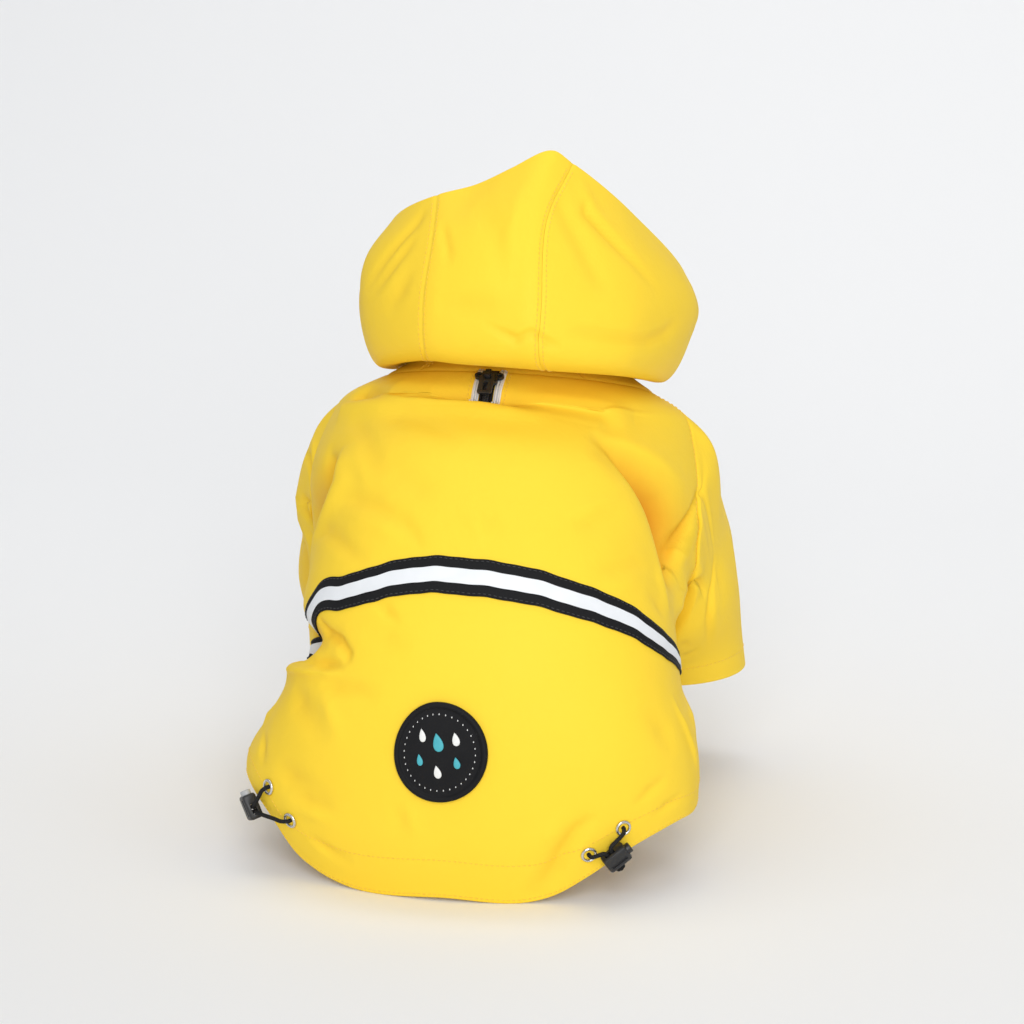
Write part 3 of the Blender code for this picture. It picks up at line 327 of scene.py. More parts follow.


# %% [markdown]
# ## Creases
# Waterproof cloth is stiff and slippery: it hangs in broad smooth folds with a few short, sharp
# creases where it is pinched by a seam, a cord or a bent arm. Those are placed one by one, in the
# same way as the large folds but finer.

# %% Creases of the body
CREASES = (
    # Over the shoulders
    ("flat right of the zip", 1.0, [
        (7, 25, 7, 0), (18, 25.5, 8, 4.5), (36, 27, 8, 5.2), (48, 28, 7, 0),
    ]),
    ("flat left of the zip", 1.0, [
        (-7, 23, 7, 0), (-18, 22, 8, 4), (-34, 20, 8, 4.5), (-46, 20, 7, 0),
    ]),
    ("flat below it", 1.0, [(8, 36, 7, 0), (20, 37.5, 7, -2.4), (34, 39, 7, -3.4), (44, 40, 7, 0)]),
    ("yoke edge", 0.5, [
        (-63, 12, 3, 0), (-46, 18, 2.6, 0.9), (-34, 28, 2.4, 1.4), (-24, 33, 2.2, 1.4),
        (-11, 35, 2.2, 1.2), (0, 34.5, 2.2, 1.0), (9, 34.5, 2.4, 0),
    ]),
    ("above the yoke edge", 1.0, [
        (-56, 11, 3, 0), (-40, 19, 3, -1.0), (-24, 28, 3, -1.1), (-12, 31, 2.5, -0.6),
        (-5, 31, 2.5, 0),
    ]),
    ("right yoke line", 0.7, [
        (29, 27, 1.6, 0), (38, 26, 1.6, 0.55), (52, 23.5, 1.6, 0.5), (60, 22, 1.6, 0),
    ]),
    ("right yoke groove", 1.0, [(28, 24, 1.8, 0), (40, 22.5, 1.8, -0.4), (56, 19.5, 1.8, 0)]),
    ("left blade", 1.0, [
        (-32, 36, 6, 0), (-24, 42, 7, -1.3), (-15, 48, 7, -1.3), (-8, 57, 6, -1), (-2.5, 66, 5, 0),
    ]),
    ("left shoulder", 1.0, [
        (-45, 37, 5, 0), (-38, 48, 5, -1.2), (-33, 58, 5, -1.3), (-29, 72, 6, -1), (-26, 85, 6, 0),
    ]),
    ("left shoulder ridge", 1.0, [
        (-40, 56, 4, 0), (-37, 68, 4, 0.8), (-33, 82, 4, 0.5), (-30, 90, 4, 0),
    ]),
    ("left of the spine", 1.0, [(-25, 70, 6, 0), (-20, 82, 7, -1), (-13, 90, 7, -1), (-6, 93, 6, 0)]),
    # From the left armhole
    ("left armhole edge", 1.0, [
        (-44, 58, 3, 0), (-41, 68, 4, 1.8), (-41, 79, 4.5, 2.4), (-48, 90, 5, 2.4),
        (-60, 99, 5, 1.2), (-72, 105, 5, 0),
    ]),
    ("left armhole pocket", 1.0, [
        (-52, 57, 4, -1), (-52, 64, 7, -6), (-54, 72, 8, -9), (-58, 80, 8, -7.5), (-65, 88, 6, -3),
        (-74, 95, 6, 0),
    ]),
    ("left upper ribs", 0.7, [
        (-44, 90, 6, 0), (-37, 93, 6, -1.7), (-30, 98, 6, -1.8), (-24, 104, 5, -1.7),
        (-18, 109, 5, -1.6), (-13, 117, 4, -1.3), (-8.5, 126, 4, 0),
    ]),
    ("left rib ridge", 1.0, [(-44, 99, 5, 0), (-34, 105, 5, 1), (-24, 112, 5, 1.2), (-16, 121, 4, 0)]),
    ("left lower ribs", 0.8, [
        (-62, 97, 5, 0), (-52, 104, 6, -1.8), (-44, 113, 6, -2), (-36, 123, 5, -1.4),
        (-28, 132, 5, 0),
    ]),
    ("left side", 1.0, [(-78, 112, 6, 0), (-72, 120, 7, -1.6), (-66, 130, 6, 0)]),
    # From the right armhole
    ("right armhole edge", 1.0, [
        (34, 49, 3, 0), (40, 59, 4, 1.5), (45, 68, 4.5, 2.5), (53, 78, 5, 3), (61, 88, 5, 3),
        (69, 98, 5, 2.6), (72, 109, 5, 2.2), (76, 118, 5, 1.6), (81, 128, 5, 0),
    ]),
    ("right armhole pocket", 1.0, [
        (35, 47, 3, -1), (41, 52, 5, -4), (48, 58, 7, -6), (56, 65, 8, -8), (64, 71, 9, -9.5),
        (72, 78, 8, -10), (79, 86, 8, -6.5), (83, 95, 8, -3), (86, 106, 8, 0),
    ]),
    ("right armhole top", 0.5, [
        (36, 46, 3, 0), (44, 46, 4, 1.0), (52, 48, 5, 1.4), (60, 50, 5, 1.4), (68, 53, 5, 0.8),
        (76, 55, 4, 0),
    ]),
    ("below the right seam", 1.0, [
        (86, 47, 1.6, -0.8), (83.5, 54, 2.0, -2.8), (83, 63, 2.2, -5.0), (84, 73, 2.8, -5.4),
        (85, 82, 4.0, -3.2), (86, 91, 5, 0),
    ]),
    ("under the right arm", 1.0, [(92, 84, 8, 0), (99, 92, 9, 4), (97, 106, 9, 4), (92, 120, 8, 0)]),
    ("sleeve side of it", 1.0, [
        (90, 55, 4, 0), (89, 66, 4, 1.9), (90, 78, 4, 2.0), (92, 90, 4.5, 0.6),
    ]),
    ("along the right seam", 1.0, [
        (84, 28, 5, 0), (90, 52, 5, 2.0), (102, 72, 5, 2.2), (112, 79, 5, 0),
    ]),
    ("right rib ridge", 0.8, [(31, 98, 5, 0), (38, 90, 5, 1.2), (43, 83, 4, 0.9), (46, 76, 4, 0)]),
    ("right ribs", 1.0, [(33, 104, 5, 0), (39, 97, 5, -1.3), (45, 89, 5, -0.8), (49, 84, 4, 0)]),
    ("right flank", 1.0, [(39, 127, 5, 0), (48, 119, 5, -1.2), (58, 109, 5, -1), (65, 104, 5, 0)]),
    ("right flank ridge", 1.0, [(44, 133, 4, 0), (54, 124, 4, 0.7), (66, 114, 4, 0)]),
    ("right side", 1.0, [(62, 124, 5, 0), (70, 128, 5, -1.2), (76, 134, 5, 0)]),
    ("spine ridge", 1.0, [
        (-0.5, 99, 3.5, 0), (4.5, 107, 3.5, 0.8), (7.5, 115, 3.5, 0.8), (8, 122, 3.5, 0),
    ]),
    ("spine trough", 1.0, [(4.5, 96, 4, 0), (10, 106, 4, -0.8), (12.5, 117, 4, 0)]),
    # Below the band
    ("under the band", 0.6, [(-25, 149, 3, 0), (-19.5, 156, 3.5, -2), (-14, 163, 3, 0)]),
    ("left loin", 1.0, [(-28, 171, 5, 0), (-18, 171, 6, -1.2), (-9, 175, 5, 0)]),
    ("pinch floor", 1.0, [(-50, 173, 5, 0), (-60, 175, 6, -5), (-74, 176, 6, -7), (-92, 176, 6, -6)]),
    ("round the pinch", 1.0, [
        (-49, 160, 2.6, -1.3), (-45, 166, 2.8, -3.1), (-37, 171, 3, -3.6), (-32.5, 178, 3.2, -2.9),
        (-31.5, 185, 3, 0),
    ]),
    ("hip pocket", 1.0, [
        (-62, 183, 3.5, 0), (-50, 183, 3.5, -3.1), (-42, 184, 3.5, -3.4), (-36, 184.5, 3.2, -2.1),
        (-32, 186, 3, 0),
    ]),
    ("hip ridge", 0.6, [
        (-76, 191, 3, 0), (-64, 190, 2.8, 2.1), (-50, 190, 2.6, 2.5), (-40, 190, 2.6, 2.2),
        (-32, 188, 2.6, 0),
    ]),
    ("below the hip ridge", 1.0, [
        (-42, 195, 4, 0), (-35, 196, 4.5, -2), (-27, 196, 4.5, -1.7), (-18, 199, 5, 0),
    ]),
    ("left thigh", 1.0, [(-58, 199, 6, 0), (-50, 207, 7, -2.1), (-41, 215, 7, -1.3), (-34, 226, 6, 0)]),
    ("left thigh ridge", 1.0, [
        (-42, 201, 4, 0), (-36, 207, 4.5, 1.3), (-31, 217, 5, 0.9), (-29, 228, 5, 0),
    ]),
    ("left seat", 1.0, [(-52, 243, 6, 0), (-44, 249, 7, -2), (-34, 253, 7, -1), (-26, 262, 6, 0)]),
    ("left edge", 1.0, [(-72, 214, 5, 0), (-78, 226, 5, 1.6), (-80, 240, 5, 0)]),
    ("tail ridge", 1.0, [(-6.5, 248, 3.5, 0), (-6, 257, 3.2, 1.2), (-5.5, 269, 3.2, 0)]),
    ("tail trough", 1.0, [(-10, 249, 3, 0), (-9, 258, 3, -0.8), (-8.5, 268, 3, 0)]),
    ("right edge", 1.0, [(76, 190, 3, 0), (82, 212, 2.8, 1.7), (87, 238, 2.8, 1.8), (91, 262, 3, 0)]),
    ("right thigh", 1.0, [(58, 196, 7, 0), (66, 214, 8, -1.6), (70, 234, 7, 0)]),
    # Round the eyelets
    ("right gather", 1.0, [
        (40, 256, 4, 0), (35, 264, 4, -2.3), (31.5, 275, 4, -3.1), (29, 287, 5, -2.9),
        (25, 298, 6, -1),
    ]),
    ("right gather ridge", 1.0, [(33, 252, 4, 0), (27, 266, 4, 1), (22, 282, 4, 0)]),
    ("over the right lock", 1.0, [(51, 257, 3, 0), (58, 249, 3.5, -1.4), (67, 242, 4, 0)]),
    ("beyond the right lock", 1.0, [(57, 268, 3, 0), (65, 264, 3.5, -1.3), (74, 262, 4, 0)]),
    ("left gather", 1.0, [(-44, 262, 3, 0), (-37, 259, 3.5, -1.6), (-27, 259, 4, 0)]),
    ("left gather ridge", 1.0, [(-41, 268, 3, 0), (-34, 266, 3.5, 1), (-25, 267, 4, 0)]),
    ("left hem", 1.0, [(-37, 280, 3, 0), (-31, 285, 3.5, -1.6), (-23, 288, 4, 0)]),
    ("over the left lock", 1.0, [(-58, 252, 4, 0), (-65, 242, 4, -1.8), (-72, 233, 4, 0)]),
    # Sides and chest
    ("right rib side", 1.0, [(100, 106, 6, 0), (95, 128, 7, -2.1), (101, 152, 6, 0)]),
    ("right belly side", 1.0, [(106, 188, 6, 0), (99, 212, 6, 1.7), (104, 240, 6, 0)]),
    ("left rib side", 1.0, [(-100, 110, 6, 0), (-95, 130, 7, -2), (-102, 150, 6, 0)]),
    ("left belly side", 1.0, [(-106, 192, 6, 0), (-99, 220, 6, -1.8), (-105, 250, 6, 0)]),
    ("right chest", 1.0, [(119, 62, 6, 0), (130, 74, 7, -2.9), (145, 84, 6, 0)]),
    ("right chest ridge", 1.0, [(124, 84, 5, 0), (138, 94, 6, 1.6), (156, 99, 5, 0)]),
    ("left chest", 1.0, [(-119, 64, 6, 0), (-132, 78, 7, -3.1), (-149, 87, 6, 0)]),
    ("left chest ridge", 1.0, [(-124, 92, 5, 0), (-140, 101, 6, 1.3), (-158, 103, 5, 0)]),
    ("right belly", 1.0, [(118, 128, 5, 0), (136, 136, 6, -2.1), (156, 138, 5, 0)]),
    ("left belly", 1.0, [(-120, 152, 5, 0), (-138, 146, 6, -2.2), (-158, 149, 5, 0)]),
    ("belly ridge", 1.0, [(148, 172, 5, 0), (157, 194, 6, 1.6), (158, 220, 5, 0)]),
    ("belly trough", 1.0, [(-146, 196, 5, 0), (-156, 220, 6, -2), (-157, 250, 5, 0)]),
    ("right front hem", 1.0, [(116, 262, 4, 0), (128, 276, 5, -2), (134, 296, 5, 0)]),
    ("left front hem", 1.0, [(-118, 258, 4, 0), (-132, 272, 5, -2.1), (-138, 294, 5, 0)]),
)
# Beside each armhole the back folds over the hollow there. Here the last number of a point is how
# many degrees the cloth slides toward it.
LIPS = (
    ("right armhole", 1.0, [
        (34, 49, 6, 0), (40, 59, 6, 3), (45, 68, 6.5, 4.5), (53, 78, 7, 5), (60, 88, 7, 3.5),
        (66, 98, 7, 1.5), (70, 109, 7, 0),
    ]),
    ("sleeve side", 1.0, [
        (86, 50, 4, 0), (86.5, 58, 4.5, -1.5), (88, 68, 4.5, -2.2), (88.5, 78, 4.5, -2.0),
        (89, 87, 4.5, 0),
    ]),
    ("left armhole", 1.0, [
        (-44, 56, 6, 0), (-42, 68, 7, -2.5), (-43, 79, 7, -3), (-49, 90, 7, -3), (-60, 99, 7, -2),
        (-72, 105, 7, 0),
    ]),
)


def cloth(turn, down, out=0.0):
    """A point on the creased coat, moved out of it by out."""
    slide = folds(LIPS, turn, down, MM_A_DEGREE)
    return coat(turn + slide, down, folds(CREASES, turn, down, MM_A_DEGREE) + np.asarray(out, float))


# %% [markdown]
# ## Sheets of cloth
# A panel is a grid of points on its outer face and the same grid moved in by the cloth's
# thickness. Toward a free edge both faces curve to meet, as a folded edge does, and along a seam
# the cloth is drawn in a little. The UV map is the way across and along the cloth in metres, so
# a weave keeps its scale and follows the surface.


# %% Grids to meshes
SEAM_DEEP = 0.4
SEAM_SOFT = 1.2
EDGE_ROWS = np.array([0.0, 0.08, 0.25, 0.55, 1.0, 1.7])


def quads(grid, wrap=False):
    """Four-sided faces between the rows of a grid of point numbers, wrap closing each row."""
    right = np.roll(grid, -1, axis=1) if wrap else grid[:, 1:]
    left = grid if wrap else grid[:, :-1]
    return np.stack([left[:-1], right[:-1], right[1:], left[1:]], axis=-1).reshape(-1, 4)


def mesh_piece(name, points, faces, uv=None, painted_shade_depth=None):
    """A smooth-shaded object from points in millimetres and faces.

    uv is a pair of millimetres for each point, and the last argument is how deep in a fold each
    point lies, by which the yellow finish paints shade into the colour.
    """
    mesh = bpy.data.meshes.new(name)
    mesh.from_pydata(metres(points).tolist(), [], [tuple(map(int, f)) for f in faces])
    if uv is not None:
        corner = np.zeros(len(mesh.loops), np.int32)
        mesh.loops.foreach_get("vertex_index", corner)
        layer = mesh.uv_layers.new(name="cloth")
        layer.data.foreach_set("uv", (np.asarray(uv)[corner] * MM).ravel())
    # Painted shade: each point's fold depth is kept as an attribute that darkens the yellow colour.
    if painted_shade_depth is not None:
        depth = mesh.attributes.new("painted_shade_depth", "FLOAT", "POINT")
        depth.data.foreach_set("value", np.asarray(painted_shade_depth, np.float32))
    work = bmesh.new()
    work.from_mesh(mesh)
    bmesh.ops.remove_doubles(work, verts=work.verts, dist=1e-7)
    bmesh.ops.recalc_face_normals(work, faces=work.faces)
    work.to_mesh(mesh)
    work.free()
    mesh.shade_smooth()
    made = bpy.data.objects.new(name, mesh)
    bpy.context.scene.collection.objects.link(made)
    return made


def stand_in(made, node, body="coat"):
    """Put a piece on a body in the place of a solid, and hide the solid."""
    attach(made, body)
    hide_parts(node)
    return made


def capped(grid):
    """Faces of closed spindles, from the point numbers of the rings of each."""
    sides = np.concatenate([quads(rings, True) for rings in grid])
    return [*sides, *grid[:, 0, ::-1], *grid[:, -1]]


def grid_normal(outer, wrap=False):
    """Unit normals of a grid: slope along its rows crossed with slope across them."""
    across = np.gradient(outer, axis=1)
    if wrap:
        across = np.roll(outer, -1, axis=1) - np.roll(outer, 1, axis=1)
    return unit(np.cross(np.gradient(outer, axis=0), across))


def distances(line):
    """How far along a line each of its points is."""
    return np.concatenate([[0.0], np.cumsum(np.linalg.norm(np.diff(line, axis=0), axis=1))])


def ways(grid, axis):
    """How far each point of a grid is from the first one of its column (axis 0) or row (axis 1)."""
    start = np.take(grid, [0], axis=axis)
    return np.linalg.norm(np.diff(grid, axis=axis, prepend=start), axis=-1).cumsum(axis=axis)


def lengths(outer):
    """UV of a grid in millimetres: way across from the middle column, and way along each column."""
    across = ways(outer, 1)
    across = across - across[:, across.shape[1] // 2, None]
    return np.stack([across, ways(outer, 0)], axis=-1)


def rounding(distance, thick):
    """How far a face curves in toward the middle of the cloth, this near to a folded edge."""
    radius = thick / 2
    short = np.maximum(radius - distance, 0)
    return 0.92 * (radius - np.sqrt(np.maximum(radius**2 - short**2, 0)))


def shell(name, outer, normal, thick, edge, painted_shade_depth=0.0, wrap=False):
    """A thin closed sheet of cloth: outer face, inner face and the rims between them.

    edge is how far each point is from the nearest free edge and the next argument how deep it lies
    in a fold, both in millimetres; that depth paints shade into the yellow colour. wrap joins the
    last column to the first one.
    """
    single = [np.broadcast_to(v, outer.shape[:2])[..., None] for v in (thick, edge, painted_shade_depth)]
    sheet = np.concatenate([outer, normal, *single], axis=-1)
    if wrap:
        sheet = np.concatenate([sheet, sheet[:, :1]], axis=1)
    outer, normal, thick, edge, painted_shade_depth = np.split(sheet, [3, 6, 7, 8], axis=-1)
    curl = rounding(edge, thick)
    face = np.arange(edge.size).reshape(edge.shape[:2])
    behind = face + edge.size
    rims = [np.stack([face[i], behind[i]]) for i in (0, -1)]
    if not wrap:
        rims += [np.stack([face[:, i], behind[:, i]]) for i in (0, -1)]
    points = np.stack([outer - deep * normal for deep in (curl, thick - curl)]).reshape(-1, 3)
    faces = np.concatenate([quads(g) for g in (face, behind, *rims)])
    uv = np.tile(lengths(outer).reshape(-1, 2), (2, 1))
    return mesh_piece(name, points, faces, uv, np.tile(painted_shade_depth.ravel(), 2))


def sunk(outer, normal, gap):
    """A grid drawn in along a seam, gap being how far each point is from it."""
    return outer - (SEAM_DEEP * np.exp(-((gap / SEAM_SOFT) ** 2)))[..., None] * normal


def spaced(start, end, step, near_start=True, near_end=True):
    """Distances from start to end at about step, and closer together at an edge."""
    inner = np.linspace(start, end, max(3, round((end - start) / step)))
    inner = inner[(inner > start + 1.2 * step * near_start) & (inner < end - 1.2 * step * near_end)]
    head = start + EDGE_ROWS if near_start else np.array([start])
    tail = end - EDGE_ROWS[::-1] if near_end else np.array([end])
    return np.concatenate([head, inner, tail])


# %% [markdown]
# ## Back and front panels
# The back is the largest piece: from the neckline between the raglan seams, then between the
# side seams to a long rounded hem. Its hem is turned up by 20 mm over a cord, so the cloth is
# double there and the edge is thicker.

# %% Back and front
CLOTH = 0.9
HEM_CLOTH = 1.5
SOLID_CLOTH = 1.6
FOLD_EASE = 1.5
HEM_FOLD = 20.0
FINE = 1.5
# The first and last side edge of a panel: its side, the way its gap goes and degrees to add
PANEL_SIDES = {"back": ((-1, 1, 0), (1, -1, 0)), "front": ((1, 1, 0), (-1, -1, 360))}


def yellow_sheet(name, outer, normal, fold, edge, painted_shade_depth, wrap=False):
    """A sheet of the yellow cloth in place of a solid, double where its edge is turned by fold.

    Its size is printed: how wide, how long and how large it is, and its share of that rectangle.
    """
    double = ramp(fold + FOLD_EASE, fold, edge)
    thick = CLOTH + (HEM_CLOTH - CLOTH) * double
    made = shell(f"{name}_cloth", outer, normal, thick, edge, painted_shade_depth, wrap)
    wide, long = ways(outer, 1).max(), ways(outer, 0).max()
    area = sum(face.area for face in made.data.polygons) / 2
    share = area / (wide * long * MM * MM)
    print(f"{made.name}: {wide:.0f} x {long:.0f} mm, {area:.4f} square metres, {share:.2f}")
    return stand_in(made, name)


def panel_rows(step):
    """Rows of a body panel, 0 to 1 along the raglan seam and 1 to 2 down the side."""
    raglan = spaced(0.0, ARMPIT, step, near_end=False)[:-1] / ARMPIT
    side = spaced(ARMPIT, LENGTH, step, near_start=False)
    return np.concatenate([raglan, 1 + (side - ARMPIT) / (LENGTH - ARMPIT)])


def on_panel(half, rows, share):
    """(turn, down) on a panel, share running from 0 at its first side edge to 1 at its last."""
    ends = []
    for side, way, turns in PANEL_SIDES[half]:
        turn, down = side_edge(half, side, rows)
        ends.append(np.stack([turn + way * degrees_of(SEAM_GAP / 2, turn, down) + turns, down]))
    return ends[0][..., None] * (1 - share) + ends[1][..., None] * share


def from_seams(outer, down):
    """How far each point of a panel is from its two side seams and the seam at its top."""
    across = ways(outer, 1)
    return np.minimum(np.minimum(across, across[:, -1:] - across), down)


def body_panel(half, wide):
    """The back or front panel, about wide millimetres across."""
    turn, plain = on_panel(half, panel_rows(FINE), spaced(0.0, wide, FINE) / wide)
    down = hitched(turn, plain)
    turn = np.where(turn > 180, turn - 360, turn)
    outer = cloth(turn, down)
    normal = grid_normal(outer)
    outer = sunk(outer, normal, from_seams(outer, plain))
    # Fold depth of each point, for the shade painted into the cloth's colour in the folds.
    painted_shade_depth = -folds(CREASES + FOLDS, turn, down, MM_A_DEGREE)
    return yellow_sheet(f"{half}_panel", outer, normal, HEM_FOLD, LENGTH - plain, painted_shade_depth)


back = body_panel("back", 330.0)
front = body_panel("front", 260.0)

# %% [markdown]
# ## Sleeves
# A sleeve is a tube of rings. The first ring is the raglan seam, the second a cap over the point
# of the shoulder, and four more go down the arm: each is an oval through its centre, wider fore
# and aft than it is deep. The arm is bent, so the cloth creases inside the elbow.

# %% Rings of the sleeve
SLEEVE = table(
    ("reach", "x", "y", "z", "fore", "drop", "out", "up", "inside", "low"),
    (
        ("upper arm", 0.42, 99, 202, 157, 36, 8, 9, 20, 16, 13),
        ("elbow", 0.66, 88, 208, 130, 38, 6, 26, 14, 24, 12),
        ("wrist", 0.88, 80, 226, 106, 36, 3, 34, 6, 32, 6),
        ("cuff", 1.00, 78, 233, 92, 36, 0, 37, 2, 35, 2),
    ),
)
SLEEVE_ROUND = table(
    ("path", "angle"),
    (
        ("neck back", 0, 104),
        ("blade", 0.35, 82),
        ("arm back", 0.7, 56),
        ("below", 0.9, 28),
        ("armpit", 1.0, 0),
        ("armpit front", 1.1, -44),
        ("arm front", 1.35, -125),
        ("chest", 1.7, -202),
        ("neck front", 2, -234),
        ("neckline", 3, -256),
    ),
)
CAP_SHARE = 0.35
CAP_REACH = 0.17
CROWN = np.array([6.0, 0.0, 7.0])
CROWN_LEAST = 0.45
TUCK = 2.5
GUSSET = 2.0
GUSSET_ANGLE = 45.0
CUFF_FOLD = 13.0
# Creases of each sleeve, in degrees round it and millimetres down it from the seam
SLEEVE_MM_A_DEGREE = math.radians(34.0)
SLEEVE_CREASE_FROM = 6.0
SLEEVE_CREASES = {
    "sleeve_right": (
        ("over the elbow", 0.5, [
            (-47, 40, 3, 0), (-22, 26, 3, -3), (-1, 27, 3, -3.6), (8, 41, 3, -3.4),
            (22, 61, 3, -2), (32, 72, 3, 0),
        ]),
        ("inside the elbow", 1.0, [
            (-20, 22, 8, 0), (-34, 38, 10, 4.5), (-38, 56, 10, 4.5), (-30, 76, 8, 0),
        ]),
        ("elbow roll", 1.0, [(-30, 18, 5, 0), (4, 26, 5, 1.6), (28, 50, 5, 0)]),
        ("down the forearm", 1.0, [
            (56, 54, 2.4, 0), (50, 64, 2.6, -1.3), (41, 72, 2.6, -1.5), (38, 88, 2.6, -1.6),
            (38, 112, 2.4, 0),
        ]),
        ("forearm ridge", 1.0, [(42, 66, 3, 0), (46, 86, 3.4, 0.9), (48, 110, 3, 0)]),
        ("outer arm", 1.0, [(50, 52, 4, 0), (58, 68, 5, -0.9), (62, 88, 4, 0)]),
        ("crown", 1.0, [(70, 6, 3, 0), (58, 14, 4, -1.0), (46, 26, 4, 0)]),
        ("wrist one", 1.0, [(2, 90, 1.8, 0), (12, 96, 2, -0.9), (22, 103, 1.8, 0)]),
        ("wrist two", 1.0, [(6, 106, 1.8, 0), (18, 109, 2, -0.8), (30, 106, 1.8, 0)]),
        ("inner arm", 1.0, [(-70, 50, 4, 0), (-76, 74, 5, -1.6), (-66, 100, 4, 0)]),
        ("under arm", 1.0, [(-140, 46, 5, 0), (-152, 70, 5, -1.6), (-144, 96, 5, 0)]),
        ("front arm", 1.0, [(-196, 52, 5, 0), (-206, 76, 5, 1.2), (-198, 104, 5, 0)]),
    ),
    "sleeve_left": (
        ("from the seam", 0.6, [
            (70, 30, 2.4, 0), (58, 22, 2.8, -5), (48, 17, 3, -7), (44, 11, 3, -7), (40, 3, 3, -5),
        ]),
        ("above it", 1.0, [(76, 24, 3, 0), (64, 14, 3, 1.1), (54, 5, 3, 0)]),
        ("over the elbow", 0.6, [(58, 47, 2.4, 0), (50, 40, 3, -5), (42, 34, 3, -7), (36, 26, 3, -6)]),
        ("elbow", 1.0, [(80, 28, 11, 0), (62, 45, 12, 4.6), (46, 60, 10, 0)]),
        ("flat forearm", 1.0, [
            (46, 48, 12, 0), (34, 60, 16, -5.5), (28, 82, 18, -6.5), (26, 112, 18, -5),
        ]),
        ("under the elbow", 1.0, [(40, 44, 3, 0), (28, 34, 3.4, -1.2), (20, 26, 3, 0)]),
        ("outer arm", 1.0, [(80, 40, 4, 0), (70, 58, 5, -1.2), (66, 80, 4, 0)]),
        ("forearm", 1.0, [(20, 70, 4, 0), (26, 90, 4.4, 1.1), (22, 112, 4, 0)]),
        ("inner arm", 1.0, [(-60, 46, 4, 0), (-68, 70, 5, -1.7), (-60, 98, 4, 0)]),
        ("under arm", 1.0, [(-130, 50, 5, 0), (-142, 74, 5, -1.4), (-134, 102, 5, 0)]),
        ("front arm", 1.0, [(-190, 48, 5, 0), (-204, 70, 5, 1.3), (-196, 100, 5, 0)]),
    ),
}


def spread_evenly(values, count):
    """A ring of values with each replaced by the mean of its neighbours, count on each side."""
    return np.mean([np.roll(values, k, axis=0) for k in range(-count, count + 1)], axis=0)


def sleeve_grid(side, spread, path, reach):
    """Outer face of a sleeve: rings through the seam, the cap and the arm, joined down reach."""
    turn, down = armhole(path, side)
    edge = cloth(turn, down)
    thick = edge - cloth(turn, down, -SOLID_CLOTH)
    mirror = np.array([side, 1.0, 1.0])
    inward = unit(np.cross(np.roll(edge, -1, axis=0) - np.roll(edge, 1, axis=0), thick) * -side)
    inward = unit(spread_evenly(inward, max(1, len(path) // 60)))
    angle = np.radians(np.interp(path, SLEEVE_ROUND["path"], SLEEVE_ROUND["angle"]))
    rings = [edge + SEAM_GAP * inward]
    round_it, beside = np.cos(angle)[:, None], np.sin(angle)[:, None]
    for i in range(len(SLEEVE["reach"])):
        s = {name: column[i] for name, column in SLEEVE.items()}
        ring = np.array([s["x"] + spread, s["y"], s["z"]]) + round_it * [0, -s["fore"], -s["drop"]]
        ring = ring + np.maximum(beside, 0) * [s["out"], 0, s["up"]]
        ring = ring + np.minimum(beside, 0) * [s["inside"], 0, s["low"]]
        rings.append(ring * mirror)
    crown = rings[0] * (1 - CAP_SHARE) + rings[1] * CAP_SHARE
    proud = CROWN_LEAST + (1 - CROWN_LEAST) * np.maximum(np.sin(angle), 0) ** 2
    crown = crown + proud[:, None] * CROWN * mirror + TUCK * inward
    lean = math.radians(GUSSET_ANGLE)
    gusset = rings[0] + GUSSET * (math.cos(lean) * inward + math.sin(lean) * unit(thick))
    under = (ramp(0.45, 0.85, path) - ramp(1.4, 1.8, path))[:, None]
    rings.insert(1, crown * (1 - under) + gusset * under)
    return smooth([0.0, CAP_REACH, *SLEEVE["reach"]], np.stack(rings), reach), np.degrees(angle)


def make_sleeve(name, side, spread):
    """One sleeve as a tube of cloth, its cuff turned up and double."""
    fine = 240
    seam, neck = ((0, 2, fine), (2, 3, fine // 6))
    path = np.concatenate([np.linspace(*part, endpoint=False) for part in (seam, neck)])
    rough, _ = sleeve_grid(side, spread, path, np.linspace(0, 1, 60))
    long = ways(rough, 0)[-1].mean()
    reach = spaced(0.0, long, FINE * 0.9) / long
    outer, angle = sleeve_grid(side, spread, path, reach)
    normal = grid_normal(outer, wrap=True) * -side
    way = np.broadcast_to((reach * long)[:, None], outer.shape[:2])
    height = folds(SLEEVE_CREASES[name], angle[None, :], way, SLEEVE_MM_A_DEGREE)
    height = height * ramp(0.0, SLEEVE_CREASE_FROM, way)
    outer = sunk(outer + height[..., None] * normal, normal, way)
    normal = grid_normal(outer, wrap=True) * -side
    # The crease depth goes along as the depth of shade painted into the colour.
    return yellow_sheet(name, outer, normal, CUFF_FOLD, long - way, -height, wrap=True), outer


sleeve_right, right_tube = make_sleeve("sleeve_right", 1, 0.0)
sleeve_left, left_tube = make_sleeve("sleeve_left", -1, 8.0)

# %% [markdown]
# ## Hood
# The hood has a narrow panel over the middle of the head and a wide one on each side. It is worn
# down: from the neck seam it stands up a little, falls back to a soft lip and rises again to the
# open brim. Each section of it runs through six points, and the sections go round the neck.

